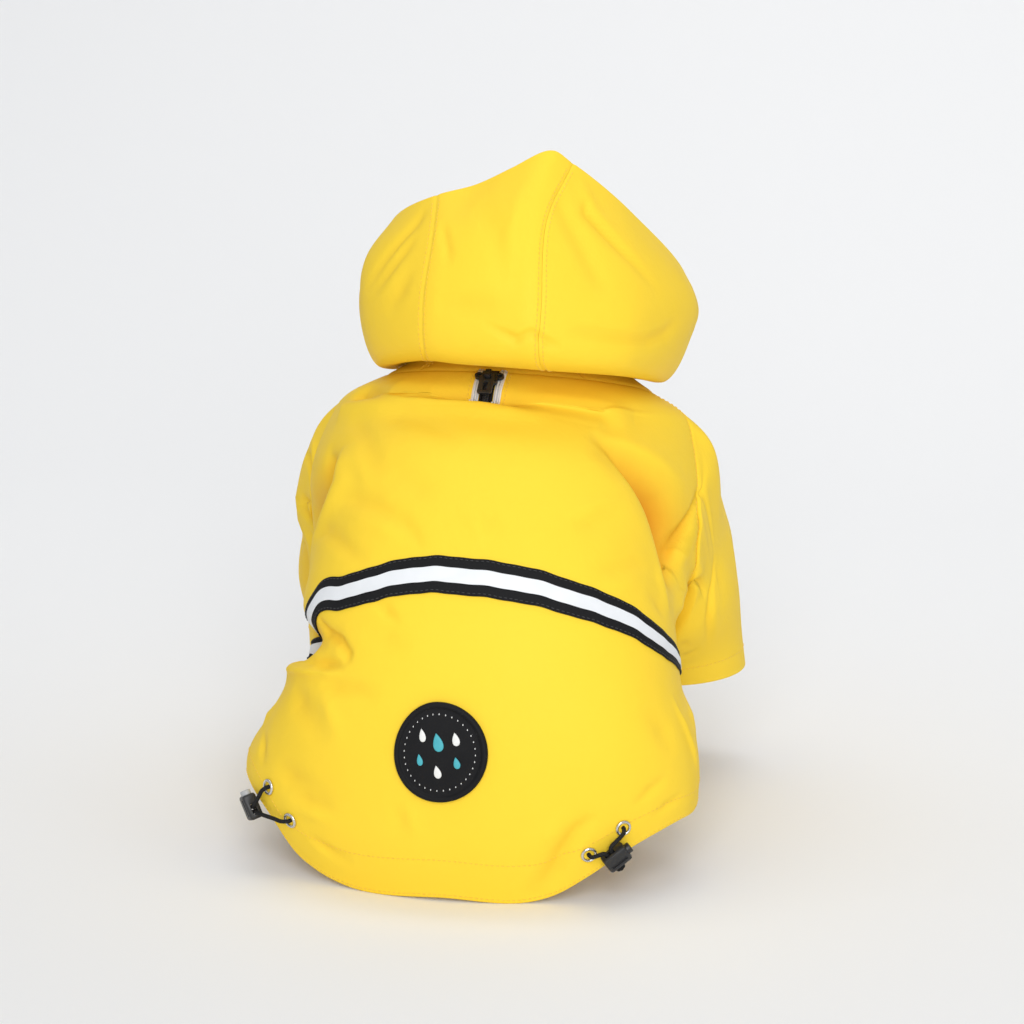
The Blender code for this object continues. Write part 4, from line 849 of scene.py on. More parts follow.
# %% Sections of the hood
HOOD = table(
    (
        "station",
        *("lip_x", "lip_y", "lip_z"),
        *("bulge_x", "bulge_y", "bulge_z"),
        *("crown_x", "crown_y", "crown_z"),
        *("brim_x", "brim_y", "brim_z"),
    ),
    (
        ("throat left", -1.00, 0, 280, 238, 0, 284, 246, 0, 284, 252, 0, 282, 258),
        ("cheek left", -0.78, -54, 252, 246, -57, 254, 258, -56, 254, 265, -53, 252, 272),
        ("side left", -0.56, -70, 195, 257, -76, 192, 282, -75, 200, 296, -70, 208, 306),
        ("corner left", -0.38, -60, 140, 272, -69, 136, 306, -69, 148, 326, -60, 166, 341),
        ("seam left", -0.20, -29, 108, 283, -28, 98, 318, -27, 114, 344, -30, 138, 361),
        ("back left", -0.10, -14, 103, 283, -14, 93, 320, -12, 110, 348, -10, 138, 367),
        ("back", 0.00, 0, 101, 283, 2, 91, 322, 5, 108, 352, 8, 137, 376),
        ("peak", 0.10, 14, 100, 283, 17, 91, 322, 18, 110, 356, 26, 140, 385),
        ("seam right", 0.22, 32, 102, 282, 33, 93, 320, 31, 114, 354, 38, 146, 378),
        ("corner right", 0.40, 68, 128, 275, 76, 128, 306, 72, 144, 332, 64, 168, 350),
        ("side right", 0.58, 77, 190, 258, 92, 188, 286, 94, 196, 298, 86, 204, 310),
        ("cheek right", 0.78, 56, 252, 246, 62, 254, 258, 61, 254, 265, 58, 254, 272),
        ("throat right", 1.00, 0, 280, 238, 0, 284, 246, 0, 284, 252, 0, 282, 258),
    ),
)
STAND = 13.0
HOOD_SEAMS = (-0.20, 0.22)
HOOD_REACH = np.array([0, 0.1, 0.3, 0.6, 0.8, 1.0])
BRIM_FOLD = 11.0
HOOD_MM = (230.0, 120.0)
STATION_MM = 188.5
HOOD_CREASES = (
    # Left panel, a fan down from the top of its seam
    ("fan one", 0.8, [
        (-0.222, 0.955, 2.6, 0), (-0.25, 0.885, 3, -1.5), (-0.285, 0.80, 3.2, -1.8),
        (-0.32, 0.71, 3.2, -1.4), (-0.355, 0.62, 3, 0),
    ]),
    ("fan ridge", 1.0, [(-0.245, 0.86, 2, 0), (-0.275, 0.785, 2, 0.9), (-0.325, 0.67, 2, 0)]),
    ("fan two", 0.8, [
        (-0.24, 0.82, 2.2, 0), (-0.265, 0.765, 2.4, -1.4), (-0.295, 0.69, 2.4, -1.4),
        (-0.335, 0.60, 2.4, 0),
    ]),
    ("fan ridge two", 1.0, [(-0.25, 0.745, 2, 0), (-0.28, 0.67, 2, 0.9), (-0.322, 0.575, 2, 0)]),
    ("fan three", 0.9, [(-0.235, 0.70, 2.6, 0), (-0.262, 0.616, 3.2, -1.5), (-0.297, 0.525, 3, 0)]),
    ("left corner", 1.0, [(-0.40, 0.90, 4, 0), (-0.42, 0.72, 4, -1.8), (-0.41, 0.52, 4, 0)]),
    # Centre panel
    ("left of the crown", 1.0, [
        (-0.178, 0.86, 3, 0), (-0.158, 0.80, 3.2, -1.4), (-0.13, 0.74, 3, -1.4),
        (-0.10, 0.70, 3, 0),
    ]),
    ("crown", 1.0, [
        (-0.07, 0.90, 5, 0), (-0.02, 0.82, 5.5, -1.2), (0.025, 0.765, 5.5, -1.4),
        (0.09, 0.63, 5, 0),
    ]),
    ("crown ridge", 1.0, [(0.04, 0.90, 5, 0), (0.08, 0.80, 5, 0.9), (0.12, 0.68, 5, 0)]),
    ("under the fall", 1.0, [
        (-0.15, 0.555, 4.5, 0), (-0.06, 0.56, 5, -1.4), (0.03, 0.55, 5, -1.2),
        (0.12, 0.53, 4.5, 0),
    ]),
    ("lip crease", 0.7, [
        (0.02, 0.505, 2.2, 0), (0.09, 0.476, 2.2, -1.5), (0.142, 0.457, 2.6, -2.4),
        (0.175, 0.478, 2.2, -1.7), (0.205, 0.49, 2.2, -1.7), (0.243, 0.455, 2.2, -2.2),
        (0.27, 0.44, 2.2, 0),
    ]),
    # Right panel
    ("from the seam", 0.9, [
        (0.213, 0.91, 3, 0), (0.245, 0.855, 3.4, -1.4), (0.279, 0.80, 3.6, -1.8),
        (0.299, 0.755, 3.6, -1.8), (0.322, 0.69, 3.6, -1.4), (0.345, 0.64, 3.4, 0),
    ]),
    ("along the brim", 0.6, [
        (0.283, 0.925, 2.2, 0), (0.296, 0.874, 2.2, -2), (0.322, 0.849, 2.2, -2.5),
        (0.359, 0.805, 2.4, -2.2), (0.388, 0.774, 2.4, -1.5), (0.445, 0.705, 2.6, 0),
    ]),
    ("brim ridge", 1.0, [
        (0.252, 0.965, 2.4, 0), (0.285, 0.93, 2.4, 1), (0.318, 0.885, 2.4, 0.8),
        (0.36, 0.84, 2.4, 0),
    ]),
    ("right lip", 0.8, [
        (0.27, 0.512, 3.4, 0), (0.31, 0.506, 3.6, -1.7), (0.362, 0.503, 3.8, -2),
        (0.43, 0.51, 3.8, -2), (0.468, 0.545, 3.8, -1.7), (0.50, 0.63, 3.6, 0),
    ]),
    ("right cheek", 1.0, [(0.30, 0.58, 6, 0), (0.38, 0.585, 7, 1.2), (0.45, 0.63, 6, 0)]),
    # Sides, out of sight from behind
    ("left side one", 1.0, [(-0.52, 0.88, 4, 0), (-0.56, 0.68, 4.5, -2.1), (-0.54, 0.46, 4, 0)]),
    ("left side two", 1.0, [(-0.68, 0.80, 4, 0), (-0.72, 0.58, 4.5, 1.7), (-0.70, 0.36, 4, 0)]),
    ("left throat", 1.0, [(-0.84, 0.78, 4, 0), (-0.87, 0.55, 4, -2), (-0.85, 0.32, 4, 0)]),
    ("right side one", 1.0, [(0.56, 0.90, 4, 0), (0.60, 0.70, 4.5, -2.1), (0.58, 0.48, 4, 0)]),
    ("right side two", 1.0, [(0.70, 0.76, 4, 0), (0.735, 0.56, 4.5, 1.8), (0.72, 0.34, 4, 0)]),
    ("right throat", 1.0, [(0.86, 0.80, 4, 0), (0.885, 0.58, 4, -2), (0.87, 0.36, 4, 0)]),
)


def hood_grid(station, rows):
    """Outer face of the hood: a smooth curve from the neck seam up to the brim at each station."""
    turn = 180 * station
    seam = coat(turn, -SEAM_GAP)
    rise = unit(coat(turn, -4.0) - coat(turn, 0.0))
    rails = [seam, seam + STAND * rise]
    for rail in ("lip", "bulge", "crown", "brim"):
        line = [smooth(HOOD["station"], HOOD[f"{rail}_{k}"], station) for k in "xyz"]
        rails.append(np.stack(line, axis=-1))
    return smooth(HOOD_REACH, np.stack(rails), rows)


def hood_creases(station, rows):
    """How high the creases stand at each row and station of the hood."""
    return folds(HOOD_CREASES, station[None, :], rows[:, None], *HOOD_MM)


def hood_face(station, rows):
    """The hood's creased outer face, and its normals."""
    here, aside, above = (hood_grid(station + s, rows + r) for s, r in ((0, 0), (0.002, 0), (0, 0.004)))
    normal = unit(np.cross(aside - here, above - here))
    return here + hood_creases(station, rows)[..., None] * normal, normal


def make_hood_panel(name, first, last):
    """One panel of the hood between two stations, its brim turned and double."""
    rough = hood_grid(np.linspace(first, last, 30), np.linspace(0, 1, 40))
    wide, long = ways(rough, 1)[:, -1].mean(), ways(rough, 0)[-1].mean()
    station = first + (last - first) * spaced(0.0, wide, FINE) / wide
    station[0] += SEAM_GAP / 2 / STATION_MM
    station[-1] -= SEAM_GAP / 2 / STATION_MM
    rows = spaced(0.0, long, FINE) / long
    outer, normal = hood_face(station, rows)
    along = ways(outer, 0)
    outer = sunk(outer, normal, from_seams(outer, along))
    edge = along[-1:] - along
    # The crease depth goes along as the depth of shade painted into the colour.
    return yellow_sheet(name, outer, normal, BRIM_FOLD, edge, -hood_creases(station, rows))


hood_left = make_hood_panel("hood_left", -1.0, HOOD_SEAMS[0])
hood_centre = make_hood_panel("hood_centre", *HOOD_SEAMS)
hood_right = make_hood_panel("hood_right", HOOD_SEAMS[1], 1.0)

# %% [markdown]
# ## Tapes on the back
# The band is a woven tape stitched round the waist with a narrower bright tape on its middle. The
# zip has a black tape with its teeth and a bright piping at each side. They are strips on the
# panel's own surface, a little out of it.

# %% Strips
def strip(name, node, turn, down, base, thick, edge):
    """A tape whose grid of (turn, down) lies on the cloth, from base to base + thick out of it."""
    outer = cloth(turn, down, base + thick)
    return stand_in(shell(name, outer, grid_normal(outer), thick, edge), node)


def uneven(turn):
    """How far a hand-guided tape strays from its line."""
    waves = ((0.3, 0.19, 0.7), (0.22, 0.43, 0.0), (0.12, 0.83, 2.0))
    return sum(height * np.sin(turn * pace + start) for height, pace, start in waves)


def band_strip(name, node, width, base, thick):
    """A tape along the band's middle line, from side seam to side seam."""
    down = BAND_DOWN + spaced(-width / 2, width / 2, 1.4)
    rows = 1 + (down - ARMPIT) / (LENGTH - ARMPIT)
    turn, plain = on_panel("back", rows, np.linspace(0, 1, 200))
    edge = np.minimum(down + width / 2 - BAND_DOWN, BAND_DOWN + width / 2 - down)[:, None]
    return strip(name, node, turn, hitched(turn, plain) + uneven(turn), base, thick, edge)


band = band_strip("band_tape", "band", BAND_WIDTH, 0.05, 0.75)
stripe = band_strip("band_bright_stripe", "band_stripe", STRIPE_WIDTH, 0.8, 0.4)

# %% Zip tapes
ZIP_TAPE = 3.5
ZIP_EDGE = (3.8, 7.6)
ZIP_LONG = (0.3, 31.0)


def zip_strip(name, node, low, high, thick):
    """A strip along the centre back, its edges low and high millimetres to the right."""
    down = spaced(*ZIP_LONG, 0.8)[:, None]
    side = spaced(low, high, 0.6)[None, :]
    turn = degrees_of(side, 0.0 * down, down)
    ends = np.minimum(down - ZIP_LONG[0], ZIP_LONG[1] - down)
    edge = np.minimum(np.minimum(side - low, high - side), ends)
    return strip(name, node, turn, down + 0.0 * turn, 0.05, thick, edge)


near, far = ZIP_EDGE
zip_tape = zip_strip("zip_black_tape", "zip_tape", -ZIP_TAPE, ZIP_TAPE, 0.6)
zip_left = zip_strip("zip_piping_left", "zip_edge_left", -far, -near, 0.7)
zip_right = zip_strip("zip_piping_right", "zip_edge_right", near, far, 0.7)

# %% [markdown]
# ## Frames on the coat
# Badge, eyelets, zip slider and cord locks are small hard things set on the cloth. Each gets a
# frame of its own there, with z out of the cloth, and is made in that frame.

# %% Frames and turned rings
def frame_at(turn, down, out, toward):
    """A matrix set on the coat: z out of the cloth, x as near as it can be to the way toward."""
    normal = unit(coat(turn, down, 1.0) - coat(turn, down))
    x = unit(toward - np.dot(toward, normal) * normal)
    matrix = Matrix((x, np.cross(normal, x), normal)).transposed().to_4x4()
    matrix.translation = Vector(metres(coat(turn, down, out)))
    return matrix


def in_frame(matrix, points):
    """Points in millimetres in a frame, as millimetres from the floor."""
    turned = np.asarray(points, float) @ np.array(matrix.to_3x3()).T
    return turned + np.array(matrix.translation) / MM + HOLD


# %% Teeth of the zip
def teeth_blocks(count, start, pitch):
    """Small rounded blocks in two rows that mesh along the zip, as (side, down, out) triples."""
    corner = np.array([(x, y, z) for z in (0, 1) for y in (-1, 1) for x in (-1, 1)], float)
    index = np.arange(count)
    side = np.where(index % 2 == 0, -0.75, 0.75)
    block = corner[None] * [1.15, 0.36 * pitch, 0.55]
    block[:, 4:, :2] *= 0.7
    return block + np.stack([side, start + pitch * index / 2, 0 * side], axis=-1)[:, None, :]


blocks = teeth_blocks(58, 1.2, 1.0)
turn = degrees_of(blocks[..., 0], 0.0, blocks[..., 1])
block_faces = [(0, 2, 3, 1), (4, 5, 7, 6), (0, 1, 5, 4), (2, 6, 7, 3), (0, 4, 6, 2), (1, 3, 7, 5)]
teeth_faces = np.array(block_faces) + 8 * np.arange(len(blocks))[:, None, None]
teeth_points = cloth(turn, blocks[..., 1], 0.6 + blocks[..., 2])
teeth = mesh_piece("zip_teeth", teeth_points.reshape(-1, 3), teeth_faces.reshape(-1, 4))
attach(teeth, "coat")
print(len(blocks), "teeth")

# %% [markdown]
# ## Badge
# The badge is moulded rubber: a disc with a raised rim, bent to the back under it. Its face
# carries a plain pattern of rain: small drops inside a ring of dots, and no words.

# %% Badge
BADGE_TURN = 1.0
BADGE_DOWN = 223.0
DOT_RING = 18.4
DROP_SUNK = 0.05
BADGE_FACE = 1.9
# Radius and height of its section, from the middle of its face over the rim to its underside
BADGE = np.array(
    [(radius, BADGE_FACE) for radius in (0.05, 6, 12, 18, 20.6)]
    + [(21.1, 2.0), (21.5, 2.5), (21.9, 2.9), (22.5, 3.05), (23.1, 3.0), (23.7, 2.75), (24.1, 2.3)]
    + [(24.3, 1.7), (24.3, 0.9), (24.25, 0.25), (23.6, 0.1), (12, 0.1), (0.05, 0.1)]
)


def on_badge(x, y, out):
    """A point of the badge: x to the right and y up on it, out of the cloth under it."""
    above, below = (coat(BADGE_TURN, BADGE_DOWN + step) for step in (-1, 1))
    down = BADGE_DOWN - y / (np.linalg.norm(below - above) / 2)
    return coat(BADGE_TURN + degrees_of(x, BADGE_TURN, down), down, out)


def disc(name, profile, steps=96):
    """A turned ring of the profile's radii and heights, bent onto the coat, its middle closed."""
    angle = np.linspace(0, 2 * np.pi, steps, endpoint=False)[None, :]
    radius, out = profile[:, :1], profile[:, 1:]
    points = on_badge(radius * np.cos(angle), radius * np.sin(angle), out + 0 * angle)
    grid = np.arange(points.shape[0] * steps).reshape(1, -1, steps)
    return mesh_piece(name, points.reshape(-1, 3), capped(grid))


badge = stand_in(disc("badge_disc", BADGE), "badge")


def drops(name, places, size, lift, sides=20):
    """Raised drops on the badge, each round below and pointed above, with a soft edge."""
    a = np.linspace(0, 2 * np.pi, sides, endpoint=False)
    wide = 0.62 * np.sin(a) * np.sqrt(np.maximum(1 - np.cos(a), 0) / 2)
    outline = np.stack([wide, 0.15 + 0.85 * np.cos(a)], axis=-1)
    rings = [(1.0, 0.0), (1.0, 0.7 * lift), (0.82, lift), (0.02, lift)]
    points = []
    for x, y, lean, scale in places:
        c, s = math.cos(math.radians(lean)), math.sin(math.radians(lean))
        flat_x, flat_y = (outline @ np.array([[c, s], [-s, c]]) * size * scale).T
        for shrink, height in rings:
            out = BADGE_FACE - DROP_SUNK + height
            points.append(on_badge(x + flat_x * shrink, y + flat_y * shrink, out))
    grid = np.arange(len(points) * sides).reshape(-1, len(rings), sides)
    made = mesh_piece(name, np.concatenate(points), capped(grid))
    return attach(made, "coat")


# Each drop: its place on the badge, its lean in degrees and its size
WHITE_DROPS = [(-8.5, 7.5, 14, 0.9), (8.8, 6.6, 14, 0.9), (0.3, -9.6, 14, 0.9)]
TEAL_DROPS = [(0.2, 4.4, 14, 1.25), (-9.4, -4.2, 14, 0.8), (9.6, -4.6, 14, 0.8)]
ring = np.linspace(0, 2 * math.pi, 36, endpoint=False)
dots = [(DOT_RING * math.sin(a), DOT_RING * math.cos(a), 0, 1.0) for a in ring]
white_drops = drops("badge_white_drops", WHITE_DROPS, 4.2, 0.5)
teal_drops = drops("badge_teal_drops", TEAL_DROPS, 4.2, 0.5)
badge_dots = drops("badge_dots", dots, 0.55, 0.35, sides=8)

# %% [markdown]
# ## Eyelets
# Nickel eyelets are pressed through the double cloth of the hem. Each is a turned ring: its
# section goes from inside the barrel over the rolled lip and back down under it.

# %% Eyelets
EYELETS = table(
    ("turn", "down"),
    (
        ("left upper", -53, 261),
        ("left lower", -43, 275),
        ("right upper", 48, 268),
        ("right lower", 38, 280),
    ),
)
EYELET_NAMES = ("left_upper", "left_lower", "right_upper", "right_lower")
# Radius and height of its section, from inside the barrel over the lip and down again
EYELET = np.array(
    [(2.6, -1.9), (2.6, -0.5), (2.6, 0.5), (2.66, 0.85), (2.82, 1.1), (3.05, 1.25), (3.35, 1.28)]
    + [(3.65, 1.18), (3.9, 0.98), (4.06, 0.7), (4.1, 0.45), (4.02, 0.28), (3.6, 0.2), (3.15, 0.2)]
    + [(3.15, -1.9)]
)


def lathe(name, profile, matrix, steps=48):
    """A closed ring: the profile turned about z of a frame."""
    angle = np.linspace(0, 2 * np.pi, steps, endpoint=False)
    ways_round = np.stack([np.cos(angle), np.sin(angle), np.ones(steps)], axis=-1)
    points = profile[:, None, [0, 0, 1]] * ways_round
    grid = np.arange(len(profile) * steps).reshape(-1, steps)
    faces = quads(np.vstack([grid, grid[:1]]), True)
    return mesh_piece(name, in_frame(matrix, points.reshape(-1, 3)), faces)


def eyelet_frame(i):
    """A frame on eyelet i, z out of the cloth."""
    return frame_at(EYELETS["turn"][i], EYELETS["down"][i], 0.0, np.array([1.0, 0.0, 0.0]))


eyelets = []
for i, name in enumerate(EYELET_NAMES):
    made = lathe(f"{name}_eyelet", EYELET, eyelet_frame(i))
    eyelets.append(stand_in(made, f"eyelet_{name}"))

# %% [markdown]
# ## Cords
# An elastic cord runs inside the hem. At each side a short loop of it comes out of one eyelet,
# goes through the cord lock, round in a small tail and back into the other eyelet.

# %% Cord routes
LOCK_WIDE = 9.0
LOCK_SLOT_AT = -1.5
LOCK_OUT = 4.6
CORD_RADIUS = 1.05
CORD_STEP = 1.2
TAIL_RADIUS = 1.9
EYELET_DEEP = 2.2


def cord_route(matrix, face, upper, lower):
    """Points from the upper eyelet through the lock, round the tail and back to the lower one."""
    here = matrix.inverted()
    offset, wide = CORD_RADIUS + 0.3, LOCK_WIDE / 2

    def from_eyelet(i, mouth):
        """Points up out of an eyelet and over toward the lock's mouth, in its frame."""
        turned = eyelet_frame(i)
        heights = [Vector((0, 0, z * MM)) for z in (0.25 - EYELET_DEEP, 1.0, 3.4)]
        bore, lip, bend = (np.array(here @ turned @ height) / MM for height in heights)
        return [bore, lip, 0.85 * bend + 0.15 * mouth, 0.65 * bend + 0.35 * mouth]

    leg = [(offset + 0.5, wide + 1.5, 0), (offset, wide - 0.5, 0)]
    leg += [(offset, 0, 0), (offset, 0.5 - wide, 0)]
    angle = np.radians(np.linspace(0, -180, 5))
    tail = [(TAIL_RADIUS * math.cos(a), -wide - 1.2 + TAIL_RADIUS * math.sin(a), 0) for a in angle]
    back_leg = [(-x, y, z) for x, y, z in reversed(leg)]
    inside = (np.array(leg + tail + back_leg) + [LOCK_SLOT_AT, 0, 0]) * [1, face, 1]
    ends = from_eyelet(upper, inside[0]), from_eyelet(lower, inside[-1])[::-1]
    guides = np.concatenate([ends[0], inside, ends[1]])
    stations = distances(guides)
    at = [
        np.linspace(a, b, max(1, round((b - a) / CORD_STEP)), endpoint=False)
        for a, b in zip(stations, stations[1:])
    ]
    path = smooth(stations, guides, np.concatenate([*at, stations[-1:]]))
    return metres(in_frame(matrix, path))


def tube(name, path, radius, sides=16):
    """A round cord along a path in metres, its rings carried along it without a twist."""
    path = np.asarray(path) / MM + HOLD
    way = unit(np.gradient(path, axis=0))
    side = [unit(np.cross(way[0], [0.0, 0.0, 1.0]))]
    for w in way[1:]:
        side.append(unit(side[-1] - np.dot(side[-1], w) * w))
    angle = np.linspace(0, 2 * np.pi, sides + 1)[:, None]
    ring = np.array(side)[:, None] * np.cos(angle) + np.cross(way, side)[:, None] * np.sin(angle)
    grid = np.arange(len(path) * (sides + 1)).reshape(len(path), -1)
    uv = np.stack(np.broadcast_arrays(angle[None, :, 0] * radius, distances(path)[:, None]), axis=-1)
    faces = [*quads(grid), grid[0][:-1], grid[-1][:-1][::-1]]
    made = mesh_piece(name, (path[:, None] + radius * ring).reshape(-1, 3), faces, uv.reshape(-1, 2))
    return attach(made, "coat")


# Each lock: its place, two places that its long way runs between, which way its slots face and
# the numbers of its upper and lower eyelet
LOCKS = {
    "right": ((45.0, 282.5), (48.0, 268.0), (38.0, 280.0), 1, (2, 3)),
    "left": ((-61.0, 280.0), (-63.0, 274.0), (-60.0, 286.0), -1, (0, 1)),
}
cords = []
for side, (place, start, end, face, eyes) in LOCKS.items():
    matrix = frame_at(*place, LOCK_OUT, coat(*start) - coat(*end))
    path = cord_route(matrix, face, *eyes)
    made = tube(f"{side}_hem_cord", path, CORD_RADIUS)
    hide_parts(f"cord_{side}")
    cords.append(made)

# %% [markdown]
# ## Moulded pieces
# The zip slider, its pull, the cord locks and their buttons have the right shape in the solids,
# but a real moulding has no knife edges. Each is copied, its loose triangles are merged, flat
# faces are joined again, and a small bevel rounds every edge.


# %% Rounded copies of the hard pieces
def rounded(node, body, radius):
    """A copy of a solid with its edges rounded by a bevel of this radius in millimetres."""
    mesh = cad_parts[node].data.copy()
    mesh.name = f"{node}_moulding"
    work = bmesh.new()
    work.from_mesh(mesh)
    bmesh.ops.remove_doubles(work, verts=work.verts, dist=2e-6)
    bmesh.ops.dissolve_limit(work, angle_limit=math.radians(2), verts=work.verts, edges=work.edges)
    work.to_mesh(mesh)
    work.free()
    mesh.materials.clear()
    mesh.shade_smooth()
    made = bpy.data.objects.new(f"{node}_moulding", mesh)
    bpy.context.scene.collection.objects.link(made)
    bevel = made.modifiers.new("rounded edges", "BEVEL")
    bevel.width = radius * MM
    bevel.segments = 3
    bevel.limit_method = "ANGLE"
    bevel.angle_limit = math.radians(32)
    bevel.harden_normals = True
    return stand_in(made, node, body)


MOULDINGS = {
    "zip_slider": ("coat", 0.25),
    "zip_pull": ("pull", 0.2),
    "lock_left": ("coat", 0.25),
    "lock_right": ("coat", 0.25),
    "button_left": ("button_left_body", 0.5),
    "button_right": ("button_right_body", 0.5),
}
mouldings = {node: rounded(node, body, radius) for node, (body, radius) in MOULDINGS.items()}
print(len(mouldings), "mouldings")

# %% [markdown]
# ## Stitches
# Every seam is topstitched: short stitches of thread a little apart, sunk at both ends where the
# thread goes down into the cloth. A stitch is a small spindle along the seam's line. All of a
# seam's stitches are one mesh, worked out as one array.

# %% Stitch lines
STITCH_STEP = 2.6
STITCH_LONG = 0.72 * STITCH_STEP
STITCH_LIFT = 0.02
THREAD = 0.24
STITCH_INSET = 1.9
HEM_ROW_LOW = 2.2
HEM_ROW_APART = 3.0
BAND_ROW_INSET = 1.3
BAND_ROW_OUT = 0.78
ZIP_ROW_AT = 9.6
ZIP_ROW_LONG = (1.0, 33.0)


def stitches(name, line, normal):
    """Spindles along a line: rings of six points, thin at both ends, proud in the middle."""
    along_line = distances(line)
    start = np.arange(0.8, along_line[-1] - STITCH_STEP, STITCH_STEP)
    share = np.array([0.0, 0.14, 0.5, 0.86, 1.0])
    width = np.array([0.15, 0.85, 1.0, 0.85, 0.15]) * THREAD
    rise = np.array([-0.25, 0.02, 0.12, 0.02, -0.25]) + STITCH_LIFT
    at = start[:, None] + share * STITCH_LONG
    centre, up = (
        np.stack([np.interp(at, along_line, values[:, k]) for k in range(3)], axis=-1)
        for values in (line, normal)
    )
    up = unit(up)
    along = unit(np.gradient(centre, axis=1))
    side = unit(np.cross(up, along))
    angle = np.linspace(0, 2 * np.pi, 6, endpoint=False)
    cos, sin = np.cos(angle)[:, None], np.sin(angle)[:, None]
    ring = side[:, :, None] * cos + up[:, :, None] * sin
    middle = centre + rise[:, None] * up
    points = middle[:, :, None] + ring * width[:, None, None]
    grid = np.arange(points.size // 3).reshape(points.shape[:3])
    made = mesh_piece(name, points.reshape(-1, 3), capped(grid))
    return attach(made, "coat"), len(start)


def on_cloth(turn, down, out=0.0):
    """A line and its normals on the coat's creased face."""
    line = cloth(turn, down, out)
    return line, out_of(cloth, turn, down)


def round_the_hem(in_from_edge):
    """A line parallel to the hem on the back panel, this far up from its edge."""
    turn = np.linspace(-109.5, 109.5, 500)
    return on_cloth(turn, hitched(turn, np.full(turn.shape, LENGTH - in_from_edge)))


def beside_seam(half, side, rows):
    """(turn, down) of a line down a panel's side edge, a stitch's inset onto the panel."""
    turn, down = side_edge(half, side, rows)
    way = -side if half == "back" else side
    return turn + way * degrees_of(STITCH_INSET, turn, down), down


def beside_raglan(half, side):
    """A line down a raglan seam, on the body panel."""
    return on_cloth(*beside_seam(half, side, np.linspace(0.02, 0.99, 120)))


def beside_side(side):
    """A line down a side seam, on the back panel."""
    turn, down = beside_seam("back", side, np.linspace(1.01, 1.985, 260))
    return on_cloth(turn, hitched(turn, down))


def round_cuff(outer, side):
    """A ring of points and normals round a sleeve, where its cuff's fold ends."""
    normal = grid_normal(outer, wrap=True) * -side
    both = np.concatenate([outer, normal], axis=-1)
    both = np.concatenate([both, both[:, :1]], axis=1)
    step = ways(both[..., :3], 0)
    ring = [
        [np.interp(way[-1] - CUFF_FOLD, way, column[:, k]) for k in range(6)]
        for way, column in zip(step.T, both.transpose(1, 0, 2))
    ]
    line, up = np.split(np.array(ring), 2, axis=-1)
    return line, unit(up)


def along_hood_seam(station, side):
    """A line up a seam of the hood and its normals, a stitch's inset to one side of it."""
    beside = np.array([station + side * STITCH_INSET / STATION_MM])
    face, normal = hood_face(beside, np.linspace(0.02, 0.98, 120))
    return face[:, 0], normal[:, 0]


def beside_zip(side):
    """A line down one side of the zip, outside its piping."""
    down = np.linspace(*ZIP_ROW_LONG, 60)
    return on_cloth(degrees_of(side * ZIP_ROW_AT, 0.0, down), down)


def along_band(side):
    """A line along the band, inside its upper or lower edge and on the tape's face."""
    turn = np.linspace(-108, 108, 400)
    down = BAND_DOWN + side * (BAND_WIDTH / 2 - BAND_ROW_INSET)
    return on_cloth(turn, hitched(turn, 0 * turn + down) + uneven(turn), BAND_ROW_OUT)


YELLOW_LINES = {
    "hem_upper": round_the_hem(HEM_FOLD + HEM_ROW_APART),
    "hem_lower": round_the_hem(HEM_ROW_LOW),
    "raglan_back_left": beside_raglan("back", -1),
    "raglan_back_right": beside_raglan("back", 1),
    "raglan_front_left": beside_raglan("front", -1),
    "raglan_front_right": beside_raglan("front", 1),
    "side_left": beside_side(-1),
    "side_right": beside_side(1),
    "cuff_right": round_cuff(right_tube, 1),
    "cuff_left": round_cuff(left_tube, -1),
    "hood_left_inner": along_hood_seam(HOOD_SEAMS[0], 1),
    "hood_left_outer": along_hood_seam(HOOD_SEAMS[0], -1),
    "hood_right_inner": along_hood_seam(HOOD_SEAMS[1], -1),
    "hood_right_outer": along_hood_seam(HOOD_SEAMS[1], 1),
}
BLACK_LINES = {"band_upper": along_band(-1), "band_lower": along_band(1)}
ZIP_LINES = {"zip_left": beside_zip(-1), "zip_right": beside_zip(1)}
sewn, count = {}, 0
for slot, lines in (("shell", YELLOW_LINES), ("black_tape", BLACK_LINES), ("shell", ZIP_LINES)):
    for name, (line, normal) in lines.items():
        made, many = stitches(f"stitches_{name}", line, normal)
        sewn[name] = made
        count += many
print(count, "stitches")

# %% [markdown]
# ## Writing finishes
# A finish is a Principled material whose colour, roughness and bump are worked out at each point.
# Number wraps a socket so that sums can be written as Python: each + - * on it adds a Math node.
# Finish.node adds any other node from its type, its settings and what goes into its sockets.


# %% A small language for finishes
class Number:
    """A value that a shader works out at each point."""

    def __init__(self, finish, socket):
        self.finish, self.socket = finish, socket

    def math(self, operation, *values):
        return self.finish.node("ShaderNodeMath", dict(enumerate(values)), operation=operation)

    def __add__(self, other):
        return self.math("ADD", self, other)

    def __sub__(self, other):
        return self.math("SUBTRACT", self, other)

    def __rsub__(self, other):
        return self.math("SUBTRACT", other, self)

    def __mul__(self, other):
        return self.math("MULTIPLY", self, other)

    __radd__ = __add__
    __rmul__ = __mul__

    def sine(self):
        return self.math("SINE", self)

    def ripple(self, size):
        """A wave from -1 to 1, one in every size millimetres."""
        return (self * (2 * math.pi / size)).sine()

    def clipped(self):
        return self.math("MINIMUM", self.math("MAXIMUM", self, 0.0), 1.0)


